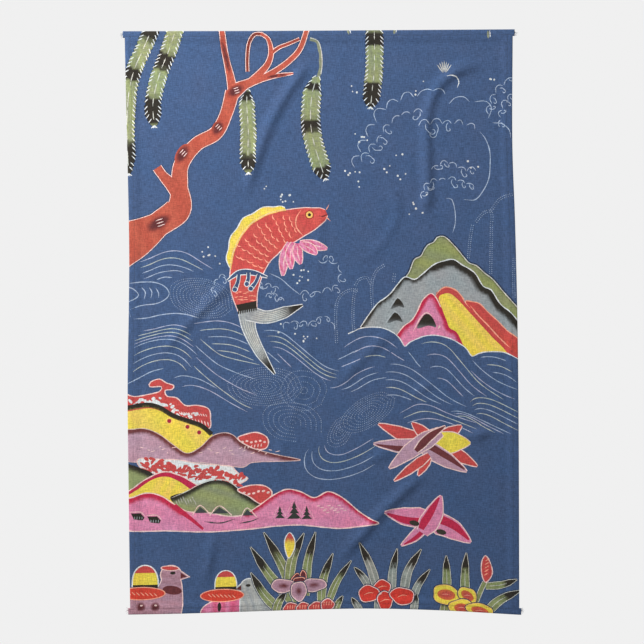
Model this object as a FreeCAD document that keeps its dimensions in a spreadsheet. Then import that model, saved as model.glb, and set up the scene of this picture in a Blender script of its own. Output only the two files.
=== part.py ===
"""A hemmed kitchen towel, lying face up on a flat surface with soft creases.

The towel is one woven cloth whose four edges are turned twice and sewn down with a lockstitch.
Frame: millimetres, +X across the towel, +Y towards its top edge, +Z up. The origin is on the surface
that the towel lies on, under the middle of the cloth.

Sub-parts: the cloth panel, four double-turned hems, and for each hem's seam one needle thread, on the
face, and one bobbin thread, pressed into the underside.
"""
import FreeCAD, Part
import math
import os

import Sketcher

Vector = FreeCAD.Vector
doc = FreeCAD.newDocument("kitchen_towel")

# ---------------------------------------------------------------- driving dimensions
DIMENSIONS = {
    "cloth_width": 406.4,
    "cloth_length": 609.6,
    "cloth_thickness": 0.5,
    "layer_gap": 0.1,
    "hem_depth": 7.0,
    "end_overhang": 2.0,
    "seam_inset": 5.7,
    "thread_width": 0.35,
    "thread_thickness": 0.1,
    "stitch_rise": 0.16,
    "stitch_pitch": 3.0,
    "needle_gap": 0.6,
    "groove_depth": 0.3,
    "thread_tail": 2.5,
    "contact_gap": 0.01,
    "floor_clearance": 0.05,
    "drop_start": 9.0,
    "drop_length": 7.0,
    "crease_fade_start": 12.0,
    "crease_fade_length": 30.0,
    "pole_spacing": 7.0,
}
DERIVED = {
    "fold_radius": "=(3 * cloth_thickness + 2 * layer_gap) / 2",
    "turn_radius": "=cloth_thickness + layer_gap / 2",
    "long_hem": "=cloth_width + 2 * end_overhang",
    "side_hem": "=cloth_length - 2 * hem_depth - 2 * layer_gap",
}

sheet = doc.addObject("Spreadsheet::Sheet", "dims")
for row, (alias, value) in enumerate({**DIMENSIONS, **DERIVED}.items(), start=1):
    sheet.set(f"A{row}", alias)
    sheet.set(f"B{row}", str(value))
    sheet.setAlias(f"B{row}", alias)
doc.recompute()


SIZES = {alias: float(sheet.get(alias)) for alias in (*DIMENSIONS, *DERIVED)}


def size(alias):
    """A driving or derived dimension, in millimetres, as the sheet has it."""
    return SIZES[alias]


# How far inside the panel's edge its outermost poles lie: they are closer over the hems and their drop.
EDGE_POLES = [0.0, 2.2, 4.4, 6.4, 8.4, 10.4, 12.4, 15.0, 19.0]

# The share of a crease's length over which it rises from nothing at each end.
CREASE_END_SHARE = 0.25

# Soft creases: the line of the crest in the towel's plane, its rise and how far it spreads to each side.
CREASES = [
    {"crest": [(-3, 279), (-21, 258), (-53, 206), (-82, 127)], "rise": 5.0, "spread": 9.0},
    {"crest": [(179, 272), (137, 257), (115, 222), (113, 159), (110, 94)], "rise": 5.0, "spread": 8.0},
    {"crest": [(-82, 56), (-130, 10), (-178, -40)], "rise": 4.5, "spread": 9.0},
    {"crest": [(6, 138), (-7, 96), (-12, 23), (-28, -71), (-48, -134), (-50, -181)],
     "rise": 2.5, "spread": 10.0},
    {"crest": [(85, -3), (48, -34), (8, -76)], "rise": 4.0, "spread": 8.0},
    {"crest": [(88, -130), (62, -140), (33, -155)], "rise": 2.5, "spread": 7.0},
    {"crest": [(193, -111), (161, -117), (130, -122)], "rise": 3.0, "spread": 7.0},
    {"crest": [(112, -153), (67, -194), (10, -257)], "rise": 6.0, "spread": 10.0},
    {"crest": [(-113, -207), (-120, -249), (-128, -288)], "rise": 3.0, "spread": 8.0},
    {"crest": [(70, 154), (76, 112), (57, 75), (31, 54)], "rise": 2.0, "spread": 7.0},
    {"crest": [(130, -55), (99, -76), (78, -97)], "rise": 2.0, "spread": 8.0},
]


# ---------------------------------------------------------------- cloth panel
def smooth(t):
    """0 below 0, 1 above 1, and a smooth step between."""
    t = min(max(t, 0.0), 1.0)
    return t * t * (3 - 2 * t)


def along_crest(x, y, crest):
    """The distance from a point to a crest line, and how far along the line it is, from 0 to 1."""
    best = (math.inf, 0.0)
    runs = len(crest) - 1
    for i, ((x0, y0), (x1, y1)) in enumerate(zip(crest, crest[1:])):
        dx, dy = x1 - x0, y1 - y0
        t = min(max(((x - x0) * dx + (y - y0) * dy) / (dx * dx + dy * dy), 0.0), 1.0)
        away = math.hypot(x - x0 - t * dx, y - y0 - t * dy)
        if away < best[0]:
            best = (away, (i + t) / runs)
    return best


def crease_height(x, y):
    """How far the creases lift the cloth at a point of the towel's plane."""
    height = 0.0
    for crease in CREASES:
        away, share = along_crest(x, y, crease["crest"])
        ends = smooth(share / CREASE_END_SHARE) * smooth((1 - share) / CREASE_END_SHARE)
        height += crease["rise"] * ends * math.exp(-((away / crease["spread"]) ** 2))
    return height


def panel_underside(x, y):
    """The height of the cloth's underside: over the hems at the edges, and near the floor inside them."""
    edge = min(size("cloth_width") / 2 - abs(x), size("cloth_length") / 2 - abs(y))
    over_hem = 2 * size("turn_radius") + size("layer_gap")
    drop = smooth((edge - size("drop_start")) / size("drop_length"))
    fade = smooth((edge - size("crease_fade_start")) / size("crease_fade_length"))
    low = over_hem * (1 - drop) + size("floor_clearance") * drop
    return low + fade * crease_height(x, y)


def stations(half, inset):
    """Places for the surface's poles across the cloth: even in the middle, and closer at the edges."""
    span = half - inset - EDGE_POLES[-1]
    runs = round(span / size("pole_spacing"))
    middle = [span * i / runs for i in range(runs)]
    positive = middle + [half - inset - depth for depth in reversed(EDGE_POLES)]
    return [-p for p in positive[:0:-1]] + positive


def clamped_knots(count, degree=3):
    """The knots and multiplicities of a clamped uniform B-spline with that many poles."""
    spans = count - degree
    knots = [i / spans for i in range(spans + 1)]
    return knots, [degree + 1] + [1] * (spans - 1) + [degree + 1]


def sheet_surface(xs, ys, lift):
    """A smooth surface over the towel's plane, lift above the cloth's underside."""
    poles = [[Vector(x, y, panel_underside(x, y) + lift) for y in ys] for x in xs]
    (ku, mu), (kv, mv) = clamped_knots(len(xs)), clamped_knots(len(ys))
    surface = Part.BSplineSurface()
    surface.buildFromPolesMultsKnots(poles, mu, mv, ku, kv, False, False, 3, 3)
    return surface


def build_panel():
    """The cloth, from outer fold to outer fold: two parallel surfaces closed by a strip round the edge."""
    inset = size("fold_radius")
    xs = stations(size("cloth_width") / 2, inset)
    ys = stations(size("cloth_length") / 2, inset)
    under = sheet_surface(xs, ys, 0.0)
    face = sheet_surface(xs, ys, size("cloth_thickness"))
    sides = []
    for low, high in (
        (under.uIso(0), face.uIso(0)),
        (under.uIso(1), face.uIso(1)),
        (under.vIso(0), face.vIso(0)),
        (under.vIso(1), face.vIso(1)),
    ):
        sides.append(Part.makeRuledSurface(low.toShape(), high.toShape()))
    shell = Part.Shell([under.toShape(), face.toShape(), *[f for s in sides for f in s.Faces]])
    shell.sewShape()
    solid = Part.makeSolid(shell)
    if solid.Volume < 0:
        solid.reverse()
    panel = doc.addObject("Part::Feature", "cloth_panel")
    panel.Shape = solid
    return panel


# ---------------------------------------------------------------- hems
def constrain(sketch, kind, *where, bound_to=None):
    """Adds a constraint. With bound_to, where ends in its value and it follows that expression."""
    index = sketch.addConstraint(Sketcher.Constraint(kind, *where))
    if bound_to:
        sketch.setExpression(f"Constraints[{index}]", bound_to)
    return index


def plane_of(body, role):
    return next(f for f in body.Origin.OriginFeatures if f.Role == role)


def new_sketch(body, name):
    """A sketch on the body's YZ plane, whose own x is the body's Y and own y its Z."""
    sketch = body.newObject("Sketcher::SketchObject", name)
    sketch.AttachmentSupport = [(plane_of(body, "YZ_Plane"), "")]
    sketch.MapMode = "FlatFace"
    return sketch


def arc(centre, radius, start_deg, end_deg):
    circle = Part.Circle(Vector(*centre, 0), Vector(0, 0, 1), radius)
    return Part.ArcOfCircle(circle, math.radians(start_deg), math.radians(end_deg))


def line(a, b):
    return Part.LineSegment(Vector(*a, 0), Vector(*b, 0))


def hem_profile(body, name):
    """The section of a double-turned hem: the outer fold, the bottom layer, the inner turn and the middle
    layer, as one closed outline. Own x is 0 at the outer edge and grows towards the towel's middle."""
    t, gap = size("cloth_thickness"), size("layer_gap")
    fold, turn, depth = size("fold_radius"), size("turn_radius"), size("hem_depth")
    turn_at = depth - turn
    middle_end = fold + t
    sketch = new_sketch(body, name)
    pieces = [
        arc((fold, fold), fold, 90, 270),
        line((fold, 0), (turn_at, 0)),
        arc((turn_at, turn), turn, -90, 90),
        line((turn_at, 2 * turn), (middle_end, 2 * turn)),
        line((middle_end, 2 * turn), (middle_end, t + gap)),
        line((middle_end, t + gap), (turn_at, t + gap)),
        arc((turn_at, turn), gap / 2, -90, 90),
        line((turn_at, t), (fold, t)),
        arc((fold, fold), fold - t, 90, 270),
        line((fold, 2 * fold - t), (fold, 2 * fold)),
    ]
    sketch.addGeometry(pieces, False)
    # A circle's arc runs anticlockwise, so on the two inner arcs the outline meets point 2 first.
    start, end, centre = 1, 2, 3
    outline = [(0, start, end), (1, start, end), (2, start, end), (3, start, end), (4, start, end),
               (5, start, end), (6, end, start), (7, start, end), (8, end, start), (9, start, end)]
    for (a, _, a_end), (b, b_start, _) in zip(outline, outline[1:] + outline[:1]):
        constrain(sketch, "Coincident", a, a_end, b, b_start)
    for outer, inner in ((0, 8), (2, 6)):
        constrain(sketch, "Coincident", outer, centre, inner, centre)
    for level in (1, 3, 5, 7):
        constrain(sketch, "Horizontal", level)
    constrain(sketch, "Vertical", 4)
    for bend in (0, 2, 6, 8):
        constrain(sketch, "Vertical", bend, centre, bend, start)
        constrain(sketch, "Vertical", bend, centre, bend, end)
    constrain(sketch, "Radius", 0, fold, bound_to="dims.fold_radius")
    constrain(sketch, "Radius", 8, fold - t, bound_to="dims.fold_radius - dims.cloth_thickness")
    constrain(sketch, "Radius", 2, turn, bound_to="dims.turn_radius")
    constrain(sketch, "DistanceX", -1, 1, 0, centre, fold, bound_to="dims.fold_radius")
    constrain(sketch, "DistanceY", -1, 1, 0, centre, fold, bound_to="dims.fold_radius")
    constrain(sketch, "DistanceX", -1, 1, 2, centre, turn_at, bound_to="dims.hem_depth - dims.turn_radius")
    constrain(sketch, "DistanceX", -1, 1, 3, end, middle_end,
              bound_to="dims.fold_radius + dims.cloth_thickness")
    return sketch


def groove_profile(body, name):
    """The groove that the bobbin thread pulls into the hem's underside."""
    width, depth, inset = size("thread_width"), size("groove_depth"), size("seam_inset")
    near, far = inset - width / 2, inset + width / 2
    sketch = new_sketch(body, name)
    sketch.addGeometry([
        line((near, 0), (far, 0)),
        line((far, 0), (far, depth)),
        line((far, depth), (near, depth)),
        line((near, depth), (near, 0)),
    ], False)
    for a, b in ((0, 1), (1, 2), (2, 3), (3, 0)):
        constrain(sketch, "Coincident", a, 2, b, 1)
    for level in (0, 2):
        constrain(sketch, "Horizontal", level)
    for upright in (1, 3):
        constrain(sketch, "Vertical", upright)
    constrain(sketch, "PointOnObject", 0, 1, -1)
    constrain(sketch, "DistanceX", 0, 1, 0, 2, width, bound_to="dims.thread_width")
    constrain(sketch, "DistanceY", 1, 1, 1, 2, depth, bound_to="dims.groove_depth")
    constrain(sketch, "DistanceX", -1, 1, 0, 1, near, bound_to="dims.seam_inset - dims.thread_width / 2")
    return sketch


def build_hem(name, length_alias, turn_deg, extent_alias):
    """One hem along its own X, then turned and moved so that its outer fold is on the towel's edge."""
    body = doc.addObject("PartDesign::Body", name)
    pad = body.newObject("PartDesign::Pad", name + "_fold")
    pad.Profile = hem_profile(body, name + "_section")
    pad.SideType = "Symmetric"
    pad.setExpression("Length", "dims." + length_alias)
    doc.recompute()
    whole = body.Shape.Volume
    groove = body.newObject("PartDesign::Pocket", name + "_groove")
    groove.Profile = groove_profile(body, name + "_groove_section")
    groove.Type = "Length"
    groove.SideType = "Symmetric"
    groove.setExpression("Length", f"dims.{length_alias} + 2 * dims.hem_depth")
    doc.recompute()
    removed = whole - body.Shape.Volume
    expected = size(length_alias) * size("thread_width") * size("groove_depth")
    if not math.isclose(removed, expected, rel_tol=0.02):
        raise RuntimeError(f"{name}: the groove removed {removed:.2f} mm3, not {expected:.2f}")
    turn = FreeCAD.Rotation(Vector(0, 0, 1), turn_deg)
    inward = turn.multVec(Vector(0, 1, 0))
    body.Placement = FreeCAD.Placement(inward * (-size(extent_alias) / 2), turn)
    return body


# ---------------------------------------------------------------- seam threads
def thread_outline(length, pitch, gap, flat, rise):
    """A thread's side view along its seam: a flat strand with a raised float for each stitch."""
    count = int(length // pitch)
    start = -count * pitch / 2
    points = [(-length / 2, 0.0), (-length / 2, flat)]
    for i in range(count):
        left = start + i * pitch + gap / 2
        right = left + pitch - gap
        points += [(left, flat), (left + gap / 2, flat + rise)]
        points += [(right - gap / 2, flat + rise), (right, flat)]
    points += [(length / 2, flat), (length / 2, 0.0)]
    return points


def build_thread(name, length, turn_deg, seam_at, height, side):
    """A seam's thread as one solid along the seam, seam_at from the cloth's middle: side is 1 where its
    floats stand up on the face, and -1 where they hang down on the underside."""
    width = size("thread_width")
    points = thread_outline(
        length, size("stitch_pitch"), size("needle_gap"), size("thread_thickness"), size("stitch_rise"))
    loop = [Vector(x, -width / 2, side * z) for x, z in points]
    section = Part.Face(Part.makePolygon(loop + loop[:1]))
    thread = doc.addObject("Part::Feature", name)
    thread.Shape = section.extrude(Vector(0, width, 0))
    turn = FreeCAD.Rotation(Vector(0, 0, 1), turn_deg)
    inward = turn.multVec(Vector(0, 1, 0))
    thread.Placement = FreeCAD.Placement(inward * -seam_at + Vector(0, 0, height), turn)
    return thread


# ---------------------------------------------------------------- assembly
parts = [build_panel()]
EDGES = [
    # name, the hem's length, its turn about Z, the cloth's extent across it
    ("bottom", "long_hem", 0, "cloth_length"),
    ("top", "long_hem", 180, "cloth_length"),
    ("right", "side_hem", 90, "cloth_width"),
    ("left", "side_hem", -90, "cloth_width"),
]
face_height = 2 * size("fold_radius") + size("contact_gap")
groove_roof = size("groove_depth") - size("contact_gap")
for edge, length_alias, turn_deg, extent_alias in EDGES:
    parts.append(build_hem(edge + "_hem", length_alias, turn_deg, extent_alias))
    seam_at = size(extent_alias) / 2 - size("seam_inset")
    hem_length = size(length_alias)
    # The long seams' face threads end in short tails past the side edges of the cloth.
    face_length = hem_length
    if length_alias == "long_hem":
        face_length = size("cloth_width") + 2 * size("thread_tail")
    parts.append(build_thread(edge + "_needle_thread", face_length, turn_deg, seam_at, face_height, 1))
    parts.append(build_thread(edge + "_bobbin_thread", hem_length, turn_deg, seam_at, groove_roof, -1))

doc.recompute()
for item in doc.Objects:
    if "Invalid" in item.State or "Error" in item.State:
        raise RuntimeError(f"{item.Name} failed: {item.State}")
os.makedirs("parts", exist_ok=True)
for part in parts:
    shape = part.Shape
    if shape.isNull() or not shape.isValid() or not shape.Solids:
        raise RuntimeError(f"{part.Label} has no valid solid")
    shape.exportStep(f"parts/{part.Label}.step")
    box = shape.BoundBox
    print(f"{part.Label}: {len(shape.Solids)} solid, {shape.Volume:.1f} mm3")
    print(f"    x {box.XMin:.2f}..{box.XMax:.2f}, y {box.YMin:.2f}..{box.YMax:.2f}")
    print(f"    z {box.ZMin:.3f}..{box.ZMax:.3f}")
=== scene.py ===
"""A printed kitchen towel, lying face up with soft creases: its looks, around the CAD frame.

The print is drawn here as flat shapes in millimetres on the cloth, (u, v) from the towel's centre, u to
the right and v towards the picture's top. They are cut into one mesh of the cloth's face, which is then
laid over the hems and creases. Everything in Blender is in metres, in the CAD's frame.
"""
import math
import random

import bpy
import numpy as np
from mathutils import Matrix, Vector
from mathutils.geometry import delaunay_2d_cdt


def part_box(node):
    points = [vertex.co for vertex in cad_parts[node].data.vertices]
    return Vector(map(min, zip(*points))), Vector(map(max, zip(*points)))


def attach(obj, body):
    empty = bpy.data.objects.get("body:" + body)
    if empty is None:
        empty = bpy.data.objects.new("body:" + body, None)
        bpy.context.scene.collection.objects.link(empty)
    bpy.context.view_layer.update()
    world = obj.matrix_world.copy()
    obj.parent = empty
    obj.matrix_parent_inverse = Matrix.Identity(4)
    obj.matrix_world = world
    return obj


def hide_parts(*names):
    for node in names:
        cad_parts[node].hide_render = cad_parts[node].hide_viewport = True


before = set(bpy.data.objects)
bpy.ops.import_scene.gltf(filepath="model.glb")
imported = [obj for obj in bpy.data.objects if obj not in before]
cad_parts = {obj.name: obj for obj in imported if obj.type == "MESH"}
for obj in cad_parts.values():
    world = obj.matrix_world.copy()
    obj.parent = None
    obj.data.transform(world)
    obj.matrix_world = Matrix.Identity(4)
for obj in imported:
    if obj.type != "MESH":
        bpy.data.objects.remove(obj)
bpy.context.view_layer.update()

MM = 0.001

# ---------------------------------------------------------------- sizes, from the frame (millimetres)
SIDE_HIGH = np.array(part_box("right_hem")[1]) / MM
TOP_LOW, TOP_HIGH = (np.array(corner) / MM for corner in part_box("top_hem"))
SEAM_LOW, SEAM_HIGH = (np.array(corner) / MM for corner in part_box("right_needle_thread"))

HALF_WIDTH = SIDE_HIGH[0]
HALF_LENGTH = TOP_HIGH[1]
HEM_DEPTH = TOP_HIGH[1] - TOP_LOW[1]
SIDE_HEM_HALF = SIDE_HIGH[1]
HEM_HEIGHT = TOP_HIGH[2] - TOP_LOW[2]
EAR = TOP_HIGH[0] - HALF_WIDTH
SEAM_INSET = HALF_WIDTH - (SEAM_LOW[0] + SEAM_HIGH[0]) / 2
FOLD_RADIUS = HEM_HEIGHT / 2
NOTCH = TOP_LOW[1]  # how far up the side edges reach, to where the ears of the top hem stick out
CLOTH = 0.5
LAYER_GAP = 0.1
TURN_RADIUS = CLOTH + LAYER_GAP / 2
UNDER_GAP = 0.05  # the least height of the cloth's underside
STITCH = 3.0
THREAD_RADIUS = 0.17
TAIL = 2.2  # how far a row's thread runs on past its last stitch
SEAM_DENT = 0.14  # how deep the stitches pull the face in
SEAM_DENT_REACH = 0.55
HEM_SLOPE_START = 7.6  # from here inwards the cloth comes down off the hem
HEM_SLOPE = 6.5
FAR = 1e3  # more than any distance on the towel

# ---------------------------------------------------------------- the cloth simulation
SETTLE_FRAMES = 20
SETTLE_GRID = (103, 153)
SURFACE_GAP = 0.001  # metres, the gap that the simulation keeps between two surfaces
FLOOR_DROP = 1.6
SHEET_MASS = 0.15
BENDING_STIFFNESS = 12.0

# ---------------------------------------------------------------- the view and the weave (metres)
LENS = 135
SENSOR = 36
VIEW_WIDTH = 0.6732
VIEW_SHIFT = 0.00157
WEAVE_PITCH = 0.00062


# ---------------------------------------------------------------- curves
def curve(points, closed=False, step=2.5):
    """A smooth curve through the points, as an N x 2 array with a point about every step."""
    pts = np.asarray(points, float)
    if len(pts) < 3 and not closed:
        return pts
    if closed:
        ring = np.vstack([pts[-1], pts, pts[0], pts[1]])
    else:
        ring = np.vstack([2 * pts[0] - pts[1], pts, 2 * pts[-1] - pts[-2]])
    out = []
    for p0, p1, p2, p3 in zip(ring, ring[1:], ring[2:], ring[3:]):
        count = max(2, round(np.linalg.norm(p2 - p1) / step))
        t = (np.arange(count) / count)[:, None]
        out.append(0.5 * (2 * p1 + (p2 - p0) * t + (2 * p0 - 5 * p1 + 4 * p2 - p3) * t ** 2
                          + (3 * p1 - p0 - 3 * p2 + p3) * t ** 3))
    if not closed:
        out.append(pts[-1:])
    return np.vstack(out)


def smooth(t):
    """0 below 0, 1 above 1, and an even change between them."""
    t = np.clip(t, 0, 1)
    return t * t * (3 - 2 * t)


def shares(path):
    """How far along the path each of its points is, from 0 to 1."""
    runs = np.r_[0, np.cumsum(np.linalg.norm(np.diff(path, axis=0), axis=1))]
    return runs / runs[-1]


def resample(path, count):
    """The same path as count points, evenly spaced."""
    at = shares(path)
    even = np.linspace(0, 1, count)
    return np.column_stack([np.interp(even, at, path[:, 0]), np.interp(even, at, path[:, 1])])


def sideways(path):
    """The unit vector to the left of the path at each of its points."""
    along = np.gradient(path, axis=0)
    along /= np.maximum(np.linalg.norm(along, axis=1), 1e-9)[:, None]
    return np.column_stack([-along[:, 1], along[:, 0]])


def ribbon(path, width):
    """The outline of a band along the path. width is one number, or one for each point of the path."""
    half = sideways(path) * (np.broadcast_to(width, len(path)) / 2)[:, None]
    return np.vstack([path + half, (path - half)[::-1]])


def divided(outline, step=3.0):
    """The closed outline with extra points, so that no edge is longer than step."""
    out = []
    for a, b in zip(outline, np.roll(outline, -1, axis=0)):
        count = max(1, math.ceil(np.linalg.norm(b - a) / step))
        out.append(a + (b - a) * (np.arange(count) / count)[:, None])
    return np.vstack(out)


def turned(x, y, u, v, turn):
    """The points (x, y), turned by turn degrees and moved to (u, v)."""
    c, s = math.cos(math.radians(turn)), math.sin(math.radians(turn))
    return np.column_stack([u + x * c - y * s, v + x * s + y * c])


def family(first, last, count):
    """count curves that change evenly from the first to the last."""
    a, b = resample(curve(first), 24), resample(curve(last), 24)
    return [a + (b - a) * i / (count - 1) for i in range(count)]


# ---------------------------------------------------------------- the print
def linear(rgb):
    """An sRGB colour, 0 to 255, as linear light."""
    c = np.asarray(rgb, float) / 255
    return np.where(c <= 0.04045, c / 12.92, ((c + 0.055) / 1.055) ** 2.4)


GROUND = linear((66, 89, 128))
FOAM_BLUE = linear((166, 182, 206))
PALE = linear((222, 226, 228))
BLUSH = linear((238, 205, 200))
LEAF = linear((146, 156, 106))
LEAF_GREY = linear((132, 138, 116))
INK = linear((46, 42, 36))
BARK = linear((178, 82, 66))
MAROON = linear((98, 46, 48))
RED = linear((198, 77, 75))
CRIMSON = linear((190, 42, 76))
SALMON = linear((243, 166, 140))
YELLOW = linear((235, 213, 80))
STRAW = linear((238, 196, 110))
PINK = linear((216, 132, 168))
ROSE = linear((206, 70, 110))
MAUVE = linear((184, 146, 164))
STONE = linear((152, 158, 162))
MOSS = linear((146, 154, 96))
BONE = linear((204, 204, 196))
WINE = linear((104, 48, 54))
BACK_COLOUR = linear((214, 212, 204))
SHADOW = GROUND * 0.45


class Print:
    """The picture: flat shapes, each painted over the ones before it."""

    def __init__(self):
        self.shapes = []
        self.random = random.Random(11)

    def area(self, outline, colour):
        """Fills an outline that is already a curve. colour is linear RGB, or a function of an N x 2 array."""
        self.shapes.append((divided(np.asarray(outline, float)), colour))

    def patch(self, points, colour, edge=None, width=1.0, sharp=False, step=2.5):
        """A filled shape inside a smooth closed curve, with a hand-drawn outline if edge is a colour."""
        outline = np.asarray(points, float) if sharp else curve(points, True, step)
        self.area(outline, colour)
        if edge is not None:
            self.line(np.vstack([outline, outline[:1]]), edge, width, smooth=False)
        return outline

    def line(self, points, colour, width=0.9, smooth=True, taper=0.0):
        """A brush line of uneven width. taper is the share of it over which each end thins."""
        path = curve(points) if smooth else np.asarray(points, float)
        at = shares(path)
        uneven = 1 + 0.22 * np.sin(at * len(path) * 1.1 + self.random.uniform(0, 6.28))
        ends = np.clip(np.minimum(at, 1 - at) / taper, 0.25, 1) if taper else 1.0
        self.area(ribbon(path, width * uneven * ends), colour)

    def band(self, path, width, colour, rim, margin):
        """A filled band along the path, with a rim that makes it wider by the margin."""
        self.area(ribbon(path, width + margin), rim)
        self.area(ribbon(path, width), colour)

    def tick(self, u, v, du, dv, colour, width=0.9):
        """A short straight stroke from (u, v), pointed at both ends."""
        side = Vector((-dv, du)).normalized() * width / 2
        a, b = 0.3, 0.75
        self.area([(u, v), (u + a * du + side.x, v + a * dv + side.y),
                   (u + b * du + side.x, v + b * dv + side.y),
                   (u + du, v + dv), (u + b * du - side.x, v + b * dv - side.y),
                   (u + a * du - side.x, v + a * dv - side.y)], colour)

    def spot(self, u, v, radius, colour, stretch=1.0, turn=0.0, sides=10):
        """A round or oval spot, stretch times as long as it is wide, its length turned by turn degrees."""
        angle = np.arange(sides) * 2 * math.pi / sides
        self.area(turned(radius * stretch * np.cos(angle), radius * np.sin(angle), u, v, turn), colour)

    def beads(self, points, colour=FOAM_BLUE, pitch=1.9, radius=0.45):
        """A row of small dots along a curve."""
        path = curve(points)
        length = np.linalg.norm(np.diff(path, axis=0), axis=1).sum()
        for u, v in resample(path, max(2, round(length / pitch))):
            self.spot(u, v, radius * self.random.uniform(0.75, 1.2), colour, sides=5)


def blend_along(a, b, start, end, axis):
    """A colour that changes from a to b between two values of u (axis 0) or v (axis 1)."""
    def colour(points):
        return a + (b - a) * smooth((points[:, axis] - start) / (end - start))[:, None]
    return colour


def glow(a, b, u, v, long, short=None, turn=0.0, core=0.2):
    """Colour a in the core of an oval at (u, v), changing to b at its edge. turn is in degrees."""
    def colour(points):
        x, y = turned(points[:, 0] - u, points[:, 1] - v, 0, 0, -turn).T
        reach = np.hypot(x / long, y / (short or long))
        return a + (b - a) * smooth((reach[:, None] - core) / (1 - core))
    return colour


def distance_to(path, points):
    """How far each point is from a path."""
    nearest = np.full(len(points), 1e9)
    for a, b in zip(path[:-1], path[1:]):
        way = b - a
        reach = np.clip((points - a) @ way / (way @ way), 0, 1)
        nearest = np.minimum(nearest, np.linalg.norm(points - a - reach[:, None] * way, axis=1))
    return nearest


def shaded(rim, dark, depth, body, solid=0.35):
    """body's colour, changing to dark within depth of the rim, and all dark for the share solid of that."""
    path = curve(rim, step=5)

    def colour(points):
        base = body(points) if callable(body) else body
        away = distance_to(path, points)[:, None] / depth
        return dark + (base - dark) * smooth((away - solid) / (1 - solid))
    return colour


def streaked(a, b, across, pitch, share=0.5):
    """Colour a with soft streaks of b, pitch apart along the direction across."""
    across = np.asarray(across, float)
    across = across / np.linalg.norm(across)

    def colour(points):
        phase = points @ across / pitch
        t = share * (0.5 + 0.5 * np.sin(6.28 * phase + 1.7 * np.sin(2.1 * phase)))[:, None]
        return a + (b - a) * t
    return colour


# ---------------------------------------------------------------- motifs
def draw_frond(art, spine, half_width, dark, start=0.0):
    """A hanging frond: a toothed blade with dark bands, a pale midrib, and slanting strokes across its edges.

    dark lists the bands, as shares of its length. It widens from the share start."""
    path = curve(spine, step=2.2)
    at = shares(path)
    left, down = sideways(path), np.gradient(path, axis=0)
    down /= np.linalg.norm(down, axis=1)[:, None]
    taper = np.sqrt(np.clip((1 - at) / 0.12, 0.02, 1))
    width = 2 * half_width * taper * np.clip(0.35 + 4 * (at - start), 0.35, 1)
    toothed = width * (1 + 0.10 * np.where(np.arange(len(path)) % 2, 1, -1))
    art.area(ribbon(path, toothed + 1.4), GROUND * 0.35)
    bands = [((low + high) / 2, (high - low) / 2) for low, high in dark]
    green = streaked(LEAF, LEAF_GREY, (1, 0.1), 5.1, 0.8)

    def blade(points):
        nearest = np.argmin(((points[:, None] - path[None, ::2]) ** 2).sum(2), axis=1) * 2
        ink = sum(smooth((half + 0.012 - np.abs(at[nearest] - middle)) / 0.03) for middle, half in bands)
        return green(points) + (INK - green(points)) * np.clip(ink, 0, 1)[:, None]

    art.area(ribbon(path, toothed), blade)
    for low in np.arange(0.05, 0.92, 0.13):
        part = (at >= low) & (at <= low + art.random.uniform(0.105, 0.125))
        if part.sum() > 2:
            art.line(path[part], BONE, 0.8, smooth=False, taper=0.1)
    length = np.linalg.norm(np.diff(path, axis=0), axis=1).sum()
    for share in np.arange(max(start, 0) + 0.015, 0.975, 5.0 / length):
        i = int(np.searchsorted(at, share))
        for side in (1, -1):
            root = path[i] + side * left[i] * (width[i] / 2 + 1.0) + down[i] * art.random.uniform(0.4, 1.6)
            art.tick(*root, *(-side * left[i] * 3.9 - down[i] * 4.4), PALE, 0.9)
    for lean in (-1.0, -0.35, 0.35, 1.0):
        art.tick(*(path[-1] - down[-1] * 1.5), *((down[-1] + lean * left[-1]) * 3.4), PALE, 0.9)


def draw_fronds(art):
    draw_frond(art, [(-174, 308), (-184, 286), (-194, 264), (-200, 240), (-203, 205), (-203, 178),
                     (-202, 155)],
               8.0, [(-0.1, 0.09), (0.28, 0.38), (0.78, 1.0)], start=-0.3)
    draw_frond(art, [(-149, 308), (-157, 285), (-165, 266), (-171, 248), (-175, 228), (-174, 205)],
               8.2, [(0.25, 0.43), (0.7, 1.0)], start=-0.3)
    draw_frond(art, [(-76, 243), (-76, 222), (-75, 200), (-76, 178), (-76, 155)], 8.0,
               [(0.0, 0.14), (0.78, 1.0)])
    art.line([(-9, 296), (-2, 293), (1, 284), (2, 272), (1, 262), (-2, 252)], LEAF_GREY, 3.2)
    art.line([(-9, 297), (-1, 294), (2.5, 284), (3.5, 270), (2, 259)], BONE, 0.8)
    draw_frond(art, [(-2, 256), (-7, 240), (-9, 222), (-9, 204), (-6, 186), (-1, 168), (5, 148)], 9.6,
               [(0.05, 0.14), (0.4, 0.53), (0.86, 1.0)])
    draw_frond(art, [(58, 308), (58.5, 286), (58, 262), (56, 243), (54, 223)], 8.8,
               [(0.05, 0.25), (0.68, 1.0)], start=-0.3)
    for u, v, lean in ((29, 303, 0.5), (80, 303, -0.2), (177, 298, 0.1)):
        art.tick(u, v + 6, lean * 6, -9, LEAF_GREY, 2.2)
        art.tick(u + 2, v + 6, lean * 6, -8, PALE, 0.8)


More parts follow.
